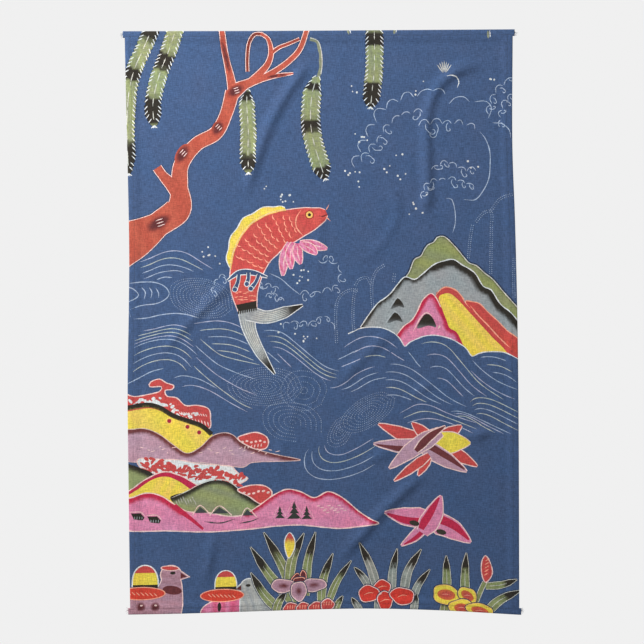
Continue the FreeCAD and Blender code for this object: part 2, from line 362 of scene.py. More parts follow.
def draw_branch(art):
    """A plain old bough at the left: tapering limbs that fork towards the top, with dark knots."""
    grain = streaked(BARK, linear((192, 98, 78)), (0.8, 0.3), 23, 0.6)
    limbs = [([(-50, 281), (-42, 287), (-32, 291), (-20, 296)], (3.2, 2.4), BARK * 0.8),
             ([(-58, 301), (-67, 301), (-73, 292), (-75, 277), (-75, 262)], (3.0, 2.6), BARK * 0.5),
             ([(-74, 249), (-62, 260), (-53, 271), (-50, 283), (-53, 296), (-61, 302)], (8.0, 2.4), grain),
             ([(-60, 255), (-45, 263), (-30, 274), (-19, 287), (-11, 310)], (5.5, 4.2), grain),
             ([(-90, 236), (-93, 256), (-98, 280), (-102, 310)], (10.0, 5.5, 5.0), grain),
             ([(-92, 240), (-76, 249), (-58, 255), (-42, 258), (-27, 260)], (17, 9, 6, 3.5, 1.2), grain),
             ([(-152, 140), (-162, 149), (-168, 156), (-172, 162)], (18, 12, 9, 9), grain),
             ([(-216, 80), (-194, 89), (-170, 104), (-150, 120), (-149, 144), (-146, 166), (-130, 186),
               (-109, 198),
               (-98, 218), (-91, 241)], (50, 38, 25, 27, 17, 15, 13.5, 13.5, 12, 14), grain)]
    for margin, ground in ((3.0, SHADOW), (1.5, BLUSH), (0.0, None)):
        for path, widths, colour in limbs:
            line = curve(path)
            width = np.interp(shares(line), np.linspace(0, 1, len(widths)), widths)
            art.area(ribbon(line, width + margin), colour if ground is None else ground)
    knots = [(-172, 104, 16, 7.5, 30), (-145, 176, 12, 6.4, 58), (-107, 203, 9.5, 6.0, 58),
             (-88, 242, 11, 6.0, 30), (-97.5, 278, 22, 3.0, 103), (-44, 257.5, 13, 1.9, 8)]
    for u, v, long, short, turn in knots:
        art.spot(u, v, short, glow(MAROON, BARK, u, v, long, short, turn, 0.5), long / short, turn, sides=22)
        slant = Vector((math.cos(math.radians(turn - 12)), math.sin(math.radians(turn - 12))))
        for shift in (-0.42, 0.0, 0.42):
            root = Vector((u, v)) + Vector((-slant.y, slant.x)) * shift * short - slant * 0.15 * long
            if short > 4:
                art.tick(root.x, root.y, slant.x * 0.55 * long, slant.y * 0.55 * long, BLUSH, 0.9)


def curl(u, v, size, turn, hand=1):
    """A stroke from (u, v) along turn, in degrees, that hooks round to its left, or its right for hand -1."""
    angle = np.linspace(0, 1.5 * math.pi, 9)
    reach = size * np.linspace(1, 0.4, 9)
    return turned(reach * np.sin(angle), hand * (size - reach * np.cos(angle)), u, v, turn)


def draw_spray(art, guide, pitch, hang=0.0):
    """A crest of foam: a broken, scalloped line along a guide, with hooked fingers about hang long."""
    path = curve(guide)
    length = np.linalg.norm(np.diff(path, axis=0), axis=1).sum()
    posts = resample(path, max(2, round(length / pitch) + 1))
    for a, b in zip(posts, posts[1:]):
        along = (b - a) * art.random.uniform(0.75, 1.1)
        left = np.array([-along[1], along[0]])
        bulge = art.random.uniform(0.15, 0.42)
        art.line([a + 0.02 * along, a + 0.32 * along + bulge * left, a + 0.7 * along + bulge * left,
                  a + 0.93 * along],
                 FOAM_BLUE, 0.75, taper=0.12)
        if not hang or art.random.random() < 0.2:
            continue
        hand = art.random.choice((-1, 1))
        turn = math.degrees(math.atan2(-left[1], -left[0])) + art.random.uniform(-45, 45)
        way = np.array([math.cos(math.radians(turn)), math.sin(math.radians(turn))])
        root = a + art.random.uniform(0.35, 0.7) * along + 0.1 * left
        reach = hang * art.random.uniform(0.6, 1.25)
        bend = root + 0.3 * reach * way - 0.12 * hand * reach * np.array([-way[1], way[0]])
        art.line(np.vstack([root, bend, curl(*(root + 0.6 * reach * way), 0.24 * reach, turn, hand)]),
                 FOAM_BLUE, 0.75,
                 taper=0.1)


def draw_foam(art):
    """Spray and cloud scrolls in thin broken lines, with scattered drops."""
    draw_spray(art, [(36, 160), (46, 182), (57, 203), (76, 227), (98, 233), (122, 241), (136, 236)], 17)
    draw_spray(art, [(44, 166), (56, 180), (70, 200), (88, 216), (112, 218)], 14, 15)
    draw_spray(art, [(136, 227), (158, 233), (176, 213), (204, 189)], 25)
    draw_spray(art, [(104, 204), (128, 206), (150, 206), (166, 199)], 14, 17)
    draw_spray(art, [(178, 216), (186, 238), (203, 254)], 11, 9)
    draw_spray(art, [(190, 203), (193, 222), (205, 238)], 10, 7)
    draw_spray(art, [(117, 158), (134, 165), (150, 157), (164, 157)], 11, 9)
    draw_spray(art, [(106, 127), (112, 141), (130, 148), (148, 145), (162, 140)], 10, 10)
    art.line([(169, 198), (175, 190), (179, 178), (179, 163), (177, 149), (171, 137), (162, 127),
              (150, 127)], FOAM_BLUE, 0.9, taper=0.12)
    art.line([(131, 128), (137, 127), (140, 116), (140, 102), (137, 92)], FOAM_BLUE, 0.8, taper=0.12)
    art.line([(-56, 50), (-44, 44), (-34, 35), (-24, 27)], FOAM_BLUE, 0.8, taper=0.12)
    draw_spray(art, [(-24, 27), (-6, 28), (12, 31), (20, 46), (14, 62), (-6, 63)], 11, 9)
    draw_spray(art, [(-69, 40), (-58, 36), (-45, 33)], 9, 7)
    draw_spray(art, [(-60, 25), (-50, 27), (-40, 20)], 9, 6)
    draw_spray(art, [(-41, -9), (-31, -1), (-18, -7), (-8, -2), (3, 4), (12, -11)], 10, 8)
    draw_spray(art, [(-115, 30), (-111, 44), (-101, 47)], 9, 8)
    for u, v, spread, count in ((38, 243, 4, 3), (108, 244, 8, 3), (186, 258, 8, 3), (44, 194, 7, 6),
                                (33, 148, 9, 7), (76, 160, 14, 8),
                                (103, 122, 11, 6), (162, 162, 9, 3), (-54, 140, 6, 2), (-36, 131, 7, 8),
                                (-24, 46, 9, 9),
                                (-118, 70, 10, 7), (-36, -2, 14, 5), (-13, -24, 8, 6)):
        for _ in range(count):
            art.spot(u + art.random.uniform(-spread, spread), v + art.random.uniform(-spread, spread),
                     art.random.uniform(0.7, 1.25), PALE * 0.86, sides=8)
    for i in range(7):
        lean = i / 3 - 1
        art.tick(131.5 + 1.2 * lean, 260.5 - abs(lean), 6.5 * lean, 12 - 3 * lean * lean, BONE * 0.9, 0.9)
    art.line([(134, 256), (138, 257), (144, 255.5), (147, 250), (145, 244)], PALE, 1.2, taper=0.3)


def draw_fish(art):
    """A plain red carp, bent as it leaps. One spine, from snout to tail, carries its body and scales."""
    spine = curve([(5, 113), (-8, 108), (-30, 101), (-53, 92), (-70, 76), (-79, 56), (-82, 34), (-79, 12)])
    at, belly = shares(spine), sideways(spine)
    half = np.interp(at, [0, 0.03, 0.13, 0.3, 0.48, 0.66, 0.84, 1], [3, 7, 12.5, 18, 21, 18.5, 14.5, 9.5])

    for lobe, widths in (([(-80, 14), (-77, -8), (-66, -32), (-50, -56)], (18, 12, 9, 1)),
                         ([(-79, 9), (-60, 4), (-42, 8), (-21, 16)], (15, 12, 11, 1))):
        path = curve(lobe)
        share = shares(path)
        width = np.interp(share, np.linspace(0, 1, len(widths)), widths)
        art.band(path, width, glow(INK, STONE, *lobe[-1], 32, core=0.3), PALE, 1.8)
        for spread in (-0.32, -0.16, 0.0, 0.16, 0.32):
            ray = path + sideways(path) * (spread * width)[:, None]
            art.line(ray[(share > 0.05) & (share < 0.75)], BONE, 0.8, smooth=False, taper=0.3)

    along_back = (at > 0.25) & (at < 0.74)
    share = (at[along_back] - 0.25) / 0.49
    edge = spine[along_back] - belly[along_back] * half[along_back][:, None]
    rise = 9.5 * np.sin(math.pi * share) ** 0.5 + 0.9 * np.sin(30 * share)
    crest = edge - belly[along_back] * rise[:, None]
    art.area(np.vstack([edge + 4 * belly[along_back], crest[::-1]]),
             streaked(YELLOW, STRAW, (1, 0.6), 12, 0.6))
    art.line(crest, PALE, 1.0, smooth=False)

    art.band(spine, 2 * half, streaked(RED, linear((206, 90, 82)), (0.7, 0.7), 17, 0.7), BLUSH, 2.0)
    art.area(ribbon(spine[at > 0.95], 2 * half[at > 0.95]), INK)
    for i in range(9):
        art.tick(-88 + 2.3 * i, 13 + 0.4 * i, -0.5, -6, INK, 1.5)
    art.line(edge, STRAW, 1.3, smooth=False)

    rows = resample(spine[(at > 0.24) & (at < 0.66)], 9)
    for row, (middle, across) in enumerate(zip(rows, sideways(rows))):
        towards_tail = np.array([across[1], -across[0]])
        for column in range(-4, 5):
            spread = 6.6 * (column + 0.5 * (row % 2))
            if abs(spread) > 13 + 0.6 * row:
                continue
            size = art.random.uniform(2.4, 3.5)
            spread += art.random.uniform(-0.9, 0.9)
            back = art.random.uniform(-1.2, 1.2) - 0.006 * spread ** 2
            centre = middle + across * spread + towards_tail * back
            bow = [centre + size * (1.15 * s * across + 0.5 * (1 - s * s) * towards_tail)
                   for s in (-1.0, -0.3, 0.4, 1.0)]
            art.line(bow, SALMON * 1.1, 1.0, taper=0.35)
    for i in range(15):
        i_row, i_column = divmod(i, 5)
        art.tick(-93 + 4.3 * i_column + 1.3 * i_row + art.random.uniform(-1.5, 1.5),
                 30 - 4 * i_row + art.random.uniform(-1, 1),
                 art.random.uniform(3.5, 6), art.random.uniform(-0.6, 1.2), SALMON, 0.8)

    gill = spine[int(np.searchsorted(at, 0.2))]
    art.line([gill + (3, 13), gill + (-2, 5), gill + (-2, -5), gill + (5, -14)], SALMON, 1.2, taper=0.2)
    art.line([(7, 112), (1, 109), (-3, 110)], MAROON, 1.1, taper=0.3)
    for du, dv in ((4, 6), (6, -5)):
        art.line([(4, 112 + dv / 2), (6, 112 + dv), (6 + du / 2, 112 + 1.6 * dv)], SALMON, 0.9, taper=0.4)
    for radius, colour in ((4.6, linear((150, 52, 44))), (3.6, STRAW), (1.7, INK)):
        art.spot(-13, 111, radius, colour, sides=18)

    fin_pink = linear((226, 150, 188))
    for fin in ([(-34, 82), (-40, 66), (-42, 47)], [(-30, 82), (-34, 68), (-33, 54)],
                [(-26, 81), (-26, 70), (-23, 59)],
                [(-24, 81), (-10, 79), (5, 75)], [(-22, 80), (-12, 75), (-6, 69)]):
        path = curve(fin)
        width = 9.5 * np.sin(math.pi * np.clip(0.12 + 0.86 * shares(path), 0, 1)) ** 0.7
        art.band(path, width, streaked(fin_pink, ROSE, (1, 0.6), 4.6, 0.8), BLUSH, 1.8)
        art.line(path[1:-1], BLUSH, 0.8, smooth=False, taper=0.3)

    water = GROUND * 0.85
    splash = curve([(-100, 43), (-88, 51), (-74, 51), (-58, 46)])
    art.band(splash, 5 * np.sin(math.pi * (0.06 + 0.88 * shares(splash))), water, PALE, 1.8)
    for u, v, length, turn, swing in ((-88, 49, 16, 255, -5), (-78, 51, 12, 262, -4),
                                      (-67, 49, 17, 240, -7)):
        c, s = math.cos(math.radians(turn)), math.sin(math.radians(turn))
        hook = curve([(u, v), (u + 0.5 * length * c - 0.2 * swing, v + 0.5 * length * s),
                      (u + length * c, v + length * s)])
        width = np.interp(shares(hook), [0, 0.6, 1], [3.0, 3.2, 4.6])
        art.band(hook, width, water, PALE, 1.4)
        art.spot(*hook[-1], 3.0, PALE, sides=14)
        art.spot(*hook[-1], 2.3, water, sides=12)


def draw_feather(art, root, tip, width, colour, shade=None, bend=0.0):
    """A wing, tail or body from root to a pointed tip, with a dark stripe if shade is a colour."""
    root, tip = np.array(root, float), np.array(tip, float)
    along = tip - root
    left = np.array([-along[1], along[0]]) / np.linalg.norm(along)
    path = curve([root, root + 0.5 * along + bend * left, tip], step=3)
    full = width * np.interp(shares(path), [0, 0.25, 0.6, 0.9, 1], [0.55, 1.0, 0.85, 0.32, 0.03])
    art.band(path, full, colour, BLUSH, 2.2)
    if shade is not None:
        inner = path[1:-1] + left * 0.22 * full[1:-1, None]
        art.area(ribbon(inner, 0.42 * full[1:-1]), shade)


def draw_mountains(art):
    """Folded hills at the right: a green peak behind a grey one, with pink, yellow and red ones in front."""
    rim = [(39, -8), (47, 4), (57, 17), (64, 22), (71, 28), (78, 37), (86, 45), (96, 42.5), (104, 48),
           (116, 58), (126, 62),
           (137, 64), (147, 58), (156, 53), (161, 48), (168, 36.5), (176, 33), (183, 22), (188, 16),
           (196, 10), (210, -6)]
    back = [(87, 45), (91, 51), (96, 63), (103, 67), (107, 74), (111, 79), (117, 82), (121, 87), (127, 88),
            (133, 84),
            (143, 73), (153, 61), (161, 58), (170, 50), (178, 44), (190, 30), (210, 8)]
    art.area(ribbon(curve(back), 4.0), GROUND * 0.4)
    moss = streaked(MOSS, LEAF_GREY, (0.3, 1), 31, 0.5)
    art.area(np.vstack([curve(back), curve(rim[6:])[::-1]]), shaded(back, MOSS * 0.4, 2.6, moss, 0.1))
    art.line(back, BONE, 1.0)
    stone = streaked(STONE, linear((160, 166, 168)), (1, 0.4), 27)
    outline = np.vstack([curve(rim), [(210, -50), (70, -50), (40, -12)]])
    art.area(outline, shaded(rim[9:], INK, 9.0, shaded(rim[:10], INK, 5.0, stone, 0.5), 0.62))
    art.line(rim, PALE, 1.1)

    red = streaked(RED, linear((204, 84, 60)), (0.7, 1), 21)
    art.patch([(149, 19), (156, 20), (164, 18), (172, 10), (182, 1), (192, -9), (208, -23), (208, -50),
               (190, -46), (166, -4)],
              red, SALMON, 1.1)
    band = [(118, 25), (123, 31), (129, 34.5), (138, 32), (144, 26), (149, 18), (160, 7), (172, -5),
            (186, -19), (208, -42),
            (190, -50), (160, -46), (146, -30), (128, -4)]
    art.patch(band, RED)
    for points in ([(118, 26), (123, 32), (129, 35), (138, 32.5), (144, 27), (149, 19)],
                   [(154, 16), (162, 6), (172, -4), (184, -17), (195, -27)]):
        art.line(points, SALMON, 1.2, taper=0.1)
    yellow = [(121, 23), (126, 27.5), (133, 28), (141, 22), (152, 10), (164, -3), (177, -17), (190, -30),
              (196, -44),
              (166, -44), (150, -44), (146, -30), (139, -13), (131, -8), (126, 8)]
    art.patch(yellow, streaked(YELLOW, STRAW, (1, 0.9), 19, 0.5))
    ridge = [(77, -16), (84, -7), (92, -1), (98, 8), (103, 19), (108, 25), (113, 28), (118, 24), (123, 14),
             (129, 0),
             (132, -8), (139, -12), (144, -21), (149, -34)]
    pink = streaked(PINK, linear((222, 140, 176)), (1, 1), 23)
    outline = np.vstack([curve(ridge), [(140, -48), (86, -48), (78, -22)]])
    art.area(outline, shaded(ridge, CRIMSON, 5.6, pink, 0.6))
    art.line(ridge[:9], BLUSH, 1.1)
    far_edge = STONE * 1.3
    rocks = [(108, 6, -9, 10, BLUSH), (78, 22, 11, 7, far_edge), (75, 7, -4, 8, far_edge)]
    for u, v, low, size, edge in rocks:
        art.patch([(u - size, low), (u - 0.5 * size, v - 4), (u, v + 0.5), (u + 0.6 * size, v - 3),
                   (u + size, low + 1.5),
                   (u + 0.2 * size, low + 3)], blend_along(STONE * 0.55, INK, low - 1, low + 6, 1))
        art.line([(u - size - 4, low - 3), (u - 0.6 * size, v - 3.5), (u, v + 1.6), (u + 0.6 * size, v - 2)],
                 edge, 1.1, taper=0.2)
    art.line([(120, -9), (122, -6)], BLUSH, 1.4)

    shore = [(26, -15), (33, -12), (40, -9), (52, -8), (62, -9), (72, -13), (80, -20), (85, -28), (90, -24),
             (97, -20.5), (106, -17),
             (118, -16), (132, -19), (142, -24), (149, -29), (155, -37), (160, -35), (167, -32.5),
             (180, -31.5), (192, -33), (210, -42)]
    art.area(np.vstack([curve(shore), [(210, -70), (26, -70)]]), GROUND)
    art.line(shore, PALE, 1.0)


def draw_whirl(art, u, v, long, short, turn, rings, share):
    """Rings of beads inside one another. share is how much of each ring is drawn."""
    for ring_no in range(rings):
        size = (ring_no + 0.6) / rings
        angle = np.linspace(0, 2 * math.pi * share, 9)
        x, y = long * size * np.cos(angle), short * size * np.sin(angle) * (1 + 0.12 * np.sin(2 * angle))
        art.beads(turned(x, y, u, v, turn), FOAM_BLUE * 0.8, 2.0, 0.46)


def draw_waves(art):
    """The sea: families of thin wave lines, and rows of beads."""
    sets = [
        ([(-197, 62), (-182, 67), (-168, 73), (-155, 75), (-142, 72), (-126, 62), (-108, 51)],
         [(-190, 45), (-182, 48), (-172, 52), (-160, 54), (-152, 54), (-146, 52), (-142, 50)], 4),
        ([(-192, -9), (-178, -7), (-166, -4), (-156, -2.5), (-147, -4), (-137, -8)],
         [(-203, -25), (-188, -19), (-172, -15), (-158, -14), (-146, -18), (-132, -28)], 4),
        ([(-203, -29), (-188, -22), (-172, -18), (-157, -18), (-143, -24), (-128, -37)],
         [(-203, -55), (-190, -46), (-175, -40), (-160, -39), (-148, -44), (-138, -56)], 4),
        ([(-137, -2), (-124, 0), (-110, 1), (-98, -1), (-88, -5), (-80, -10)],
         [(-112, -30), (-102, -31), (-92, -33), (-84, -36), (-77, -39), (-70, -42)], 5),
        ([(-133, -13), (-122, -23), (-108, -34), (-94, -39), (-78, -43), (-62, -47)],
         [(-140, -40), (-128, -52), (-112, -66), (-98, -77), (-84, -87), (-66, -95)], 4),
        ([(-157, -59), (-148, -56), (-138, -57), (-126, -61), (-108, -71)],
         [(-150, -68), (-136, -66), (-118, -72), (-95, -86), (-72, -99)], 2),
        ([(-66, -11), (-54, -10), (-42, -13), (-28, -24), (-12, -38), (4, -50), (26, -57)],
         [(-56, -27), (-44, -29), (-32, -36), (-20, -46), (-8, -56), (4, -63), (15, -65)], 4),
        ([(-60, -31), (-52, -38), (-44, -45)], [(-48, -34), (-40, -42), (-32, -50)], 2),
        ([(17, -33), (28, -25), (40, -19), (52, -18), (66, -22), (80, -32)],
         [(42, -40), (48, -38.5), (53, -38), (58, -38), (62, -39), (66, -40)], 3),
        ([(2, -72), (14, -71), (24, -66), (34, -58), (46, -52), (56, -49)],
         [(27, -77), (36, -73), (44, -68), (52, -64), (60, -62), (68, -61)], 3),
        ([(60, -48), (76, -47), (92, -52), (110, -65), (132, -82), (158, -94)],
         [(64, -80), (70, -79.5), (76, -79.5), (82, -81), (88, -83), (93, -85)], 5),
        ([(93, -31), (103, -25), (116, -23), (130, -28), (146, -46), (164, -66), (192, -84)],
         [(117, -61), (122, -61), (128, -63), (134, -68), (139, -73), (144, -78), (147, -81)], 4),
        ([(152, -37), (162, -48), (176, -59), (190, -66), (205, -71)],
         [(150, -48), (162, -60), (176, -70), (190, -77), (205, -82)], 2),
        ([(163, -38), (171, -37), (180, -37.5), (192, -41)], [(175, -53), (184, -54), (193, -57),
                                                              (203, -64)], 3),
        ([(72, -103), (86, -95), (98, -89), (112, -90), (128, -97), (146, -103), (164, -108)],
         [(80, -112), (92, -107), (104, -104), (116, -104), (132, -108), (148, -114), (162, -121)], 3),
        ([(130, -96), (140, -95), (152, -98), (168, -105), (184, -112), (198, -118)],
         [(136, -101), (146, -100), (156, -104), (166, -110), (174, -114), (182, -118)], 3),
        ([(151, -87), (158, -81), (170, -80.5), (184, -85), (205, -95)],
         [(157, -98), (164, -96.5), (174, -99), (188, -106), (205, -114)], 4),
        ([(-12, -132), (-19, -141), (-19, -156), (-8, -166), (12, -168), (38, -161), (62, -147)],
         [(2, -129), (1, -133), (4, -139), (10, -142), (20, -142), (36, -135), (54, -124)], 4),
        ([(13, -43), (22, -39), (30, -35), (38, -31)], [(18, -50), (26, -47), (33, -44), (40, -41)], 2),
        ([(70, -34), (76, -38), (81, -41), (86, -44)], [(88, -33), (93, -39), (98, -46), (103, -51)], 2),
    ]
    for first, last, count in sets:
        for path in family(first, last, count):
            at = shares(path)
            part = (at >= art.random.uniform(0, 0.06)) & (at <= art.random.uniform(0.92, 1))
            art.line(path[part], art.random.choice((FOAM_BLUE, linear((186, 194, 188)),
                                                    linear((176, 180, 204)))), 0.72,
                     smooth=False, taper=0.08)
    for points in ([(-206, 41), (-190, 42.5), (-176, 42), (-166, 38), (-161, 31), (-164, 25), (-174, 20),
                    (-190, 18), (-202, 14)],
                   [(-206, 38), (-198, 35), (-193, 29), (-197, 25), (-204, 22)],
                   [(-190, 37), (-186, 32), (-187, 25)],
                   [(-182, 37), (-179, 32), (-180, 26)], [(-175, 36), (-172, 31), (-172, 26)],
                   [(-174, 45), (-166, 47.5), (-158, 47)],
                   [(-203, 12), (-201, 6)], [(-198, 4), (-184, 5), (-170, 8), (-155, 9.5), (-142, 8),
                                             (-129, 4)],
                   [(-204, -64), (-190, -57), (-178, -51), (-166, -48)]):
        art.line(points, FOAM_BLUE, 0.9, taper=0.1)
    for points in ([(14, -24), (13, 0), (14, 16), (19, 26), (28, 31), (36, 31)],
                   [(32, -12), (31, 4), (32, 22), (34, 31)],
                   [(52, 12), (51, 28), (52, 42), (57, 52), (64, 57)],
                   [(34, 36), (38, 42), (46, 44), (50, 38)],
                   [(158, 100), (155, 84), (153, 66)], [(178, 100), (177, 76), (176, 50)],
                   [(162, 104), (170, 113), (178, 116)],
                   [(178, 116), (179, 108), (178, 102)], [(180, 118), (188, 128), (201, 133)],
                   [(201, 66), (200, 44), (200, 26)],
                   [(75, 48), (74, 40)]):
        for offset in (-1.1, 1.1):
            path = curve(points)
            art.beads(path + sideways(path) * offset, FOAM_BLUE * 0.85, 2.0, 0.5)

    for whirl in ((-127, 25, 36, 21, -20, 10, 1.0), (-60, -69, 41, 21, -6, 9, 1.0),
                  (-20, -74, 26, 24, -40, 4, 1.0), (-32, -107, 34, 22, -20, 6, 0.8),
                  (46, -98, 34, 16, 28, 8, 1.0), (18, -118, 20, 12, 50, 5, 0.8)):
        draw_whirl(art, *whirl)


def draw_trees(art, crown, path, spread, count, pale_first):
    """Red trees as one crown with small pale gaps or, with pale_first, as red strokes over a pale crown."""
    art.patch(crown, PALE if pale_first else RED, BLUSH, 1.1)
    line = resample(curve(path), count)
    left = sideways(line)
    for i in range(count):
        u, v = line[i] + left[i] * art.random.uniform(-spread, spread)
        size, turn = art.random.uniform(0.9, 1.9), art.random.uniform(-50, 70)
        if pale_first:
            c, s = math.cos(math.radians(turn)), math.sin(math.radians(turn))
            reach = art.random.uniform(2.2, 4.5)
            art.line([(u - reach * c, v - reach * s), (u, v + 0.8), (u + reach * c, v + reach * s)], RED,
                     size * 2.1, taper=0.2)
        else:
            art.spot(u, v, size, PALE, art.random.uniform(1.1, 2.4), turn, sides=8)


def draw_upper_islands(art):
    """The farther islands at the left: a yellow hill and a mauve one under red trees."""
    crown = [(-212, -74), (-196, -77), (-182, -75), (-170, -72), (-168, -67), (-180, -67), (-179, -62),
             (-170, -59), (-163, -63),
             (-155, -66), (-157, -70), (-164, -71), (-162, -77), (-152, -79), (-143, -87), (-131, -87),
             (-119, -91), (-117, -101),
             (-119, -112), (-140, -108), (-160, -99), (-175, -92), (-212, -94)]
    draw_trees(art, crown, [(-203, -84), (-186, -82), (-172, -82), (-160, -88), (-146, -95), (-132, -98)],
               4.0, 26, False)
    art.spot(-173, -84.5, 3.6, PALE, 1.5, -30)
    for i in range(12):
        art.tick(-154 + 3.2 * i, -101 - 0.8 * i, -1.4, 5.5, BLUSH, 1.1)
        art.tick(-150 + 2.5 * i, -93 - 0.3 * i, 1.8, -3.0, BLUSH, 0.9)
    yellow = [(-212, -94), (-195, -91), (-180, -89.5), (-168, -93), (-152, -102), (-136, -107), (-124, -113),
              (-115, -119), (-127, -131),
              (-141, -142), (-153, -133), (-168, -121), (-182, -114), (-196, -114), (-212, -118)]
    rim = [(-212, -91), (-196, -87.5), (-182, -86), (-170, -89), (-155, -98), (-140, -103.5), (-126, -109),
           (-116, -118)]
    art.patch(yellow + [(-212, -91)], streaked(YELLOW, STRAW, (1, 0.7), 27, 0.5))
    art.area(ribbon(curve(rim), 5.0), shaded([(u, v + 1) for u, v in rim], INK, 4.5, YELLOW * 0.6, 0.6))
    for u, v in ((-160, -103), (-141, -109.5), (-129, -115.5)):
        art.spot(u, v, 3.6, glow(YELLOW, STRAW * 1.1, u, v, 4), sides=12)
        art.spot(u, v, 2.2, CRIMSON * 0.7, sides=10)
    mauve = [(-212, -115), (-196, -111), (-184, -111), (-170, -117), (-156, -128), (-142, -137),
             (-128, -131), (-116, -120), (-104, -116.5),
             (-94, -119), (-84, -128), (-66, -136), (-44, -142), (-24, -147), (-46, -148), (-66, -148),
             (-76, -149), (-83, -153),
             (-96, -152), (-130, -147), (-170, -146), (-212, -142)]
    rim = [(-212, -114), (-196, -110.5), (-184, -110.5), (-170, -116.5), (-156, -127.5), (-142, -136.5),
           (-128, -130.5), (-116, -120),
           (-104, -116.5), (-94, -118.5), (-84, -127.5), (-66, -135.5), (-44, -141.5), (-24, -147)]
    art.patch(mauve, shaded(rim, linear((112, 58, 60)), 6.5, streaked(MAUVE, linear((196, 160, 178)),
                                                                      (0.2, 1), 11, 0.6), 0.5),
              BLUSH * 0.8, 0.8)
    dome = [(-89, -123), (-78, -118), (-69, -117), (-60, -121), (-57, -127), (-60, -134), (-72, -134)]
    art.patch(dome, RED, BLUSH, 1.2)
    for i in range(6):
        art.spot(-84 + 4.6 * i, -126.5 + 0.8 * math.sin(2.1 * i), 1.1, BLUSH, 1.4, sides=7)
        art.tick(-82 + 3.4 * i, -134.5 + 0.4 * i, 0.8, 4, BLUSH, 1.0)
    for i in range(26):
        u = -190 + 5.6 * i + art.random.uniform(-2, 2)
        if not -152 < u < -132:
            art.tick(u, -130 - 2.4 * (i % 3) - 0.04 * (u + 190), art.random.uniform(2, 6),
                     art.random.uniform(-1, 2), BLUSH, 0.75)


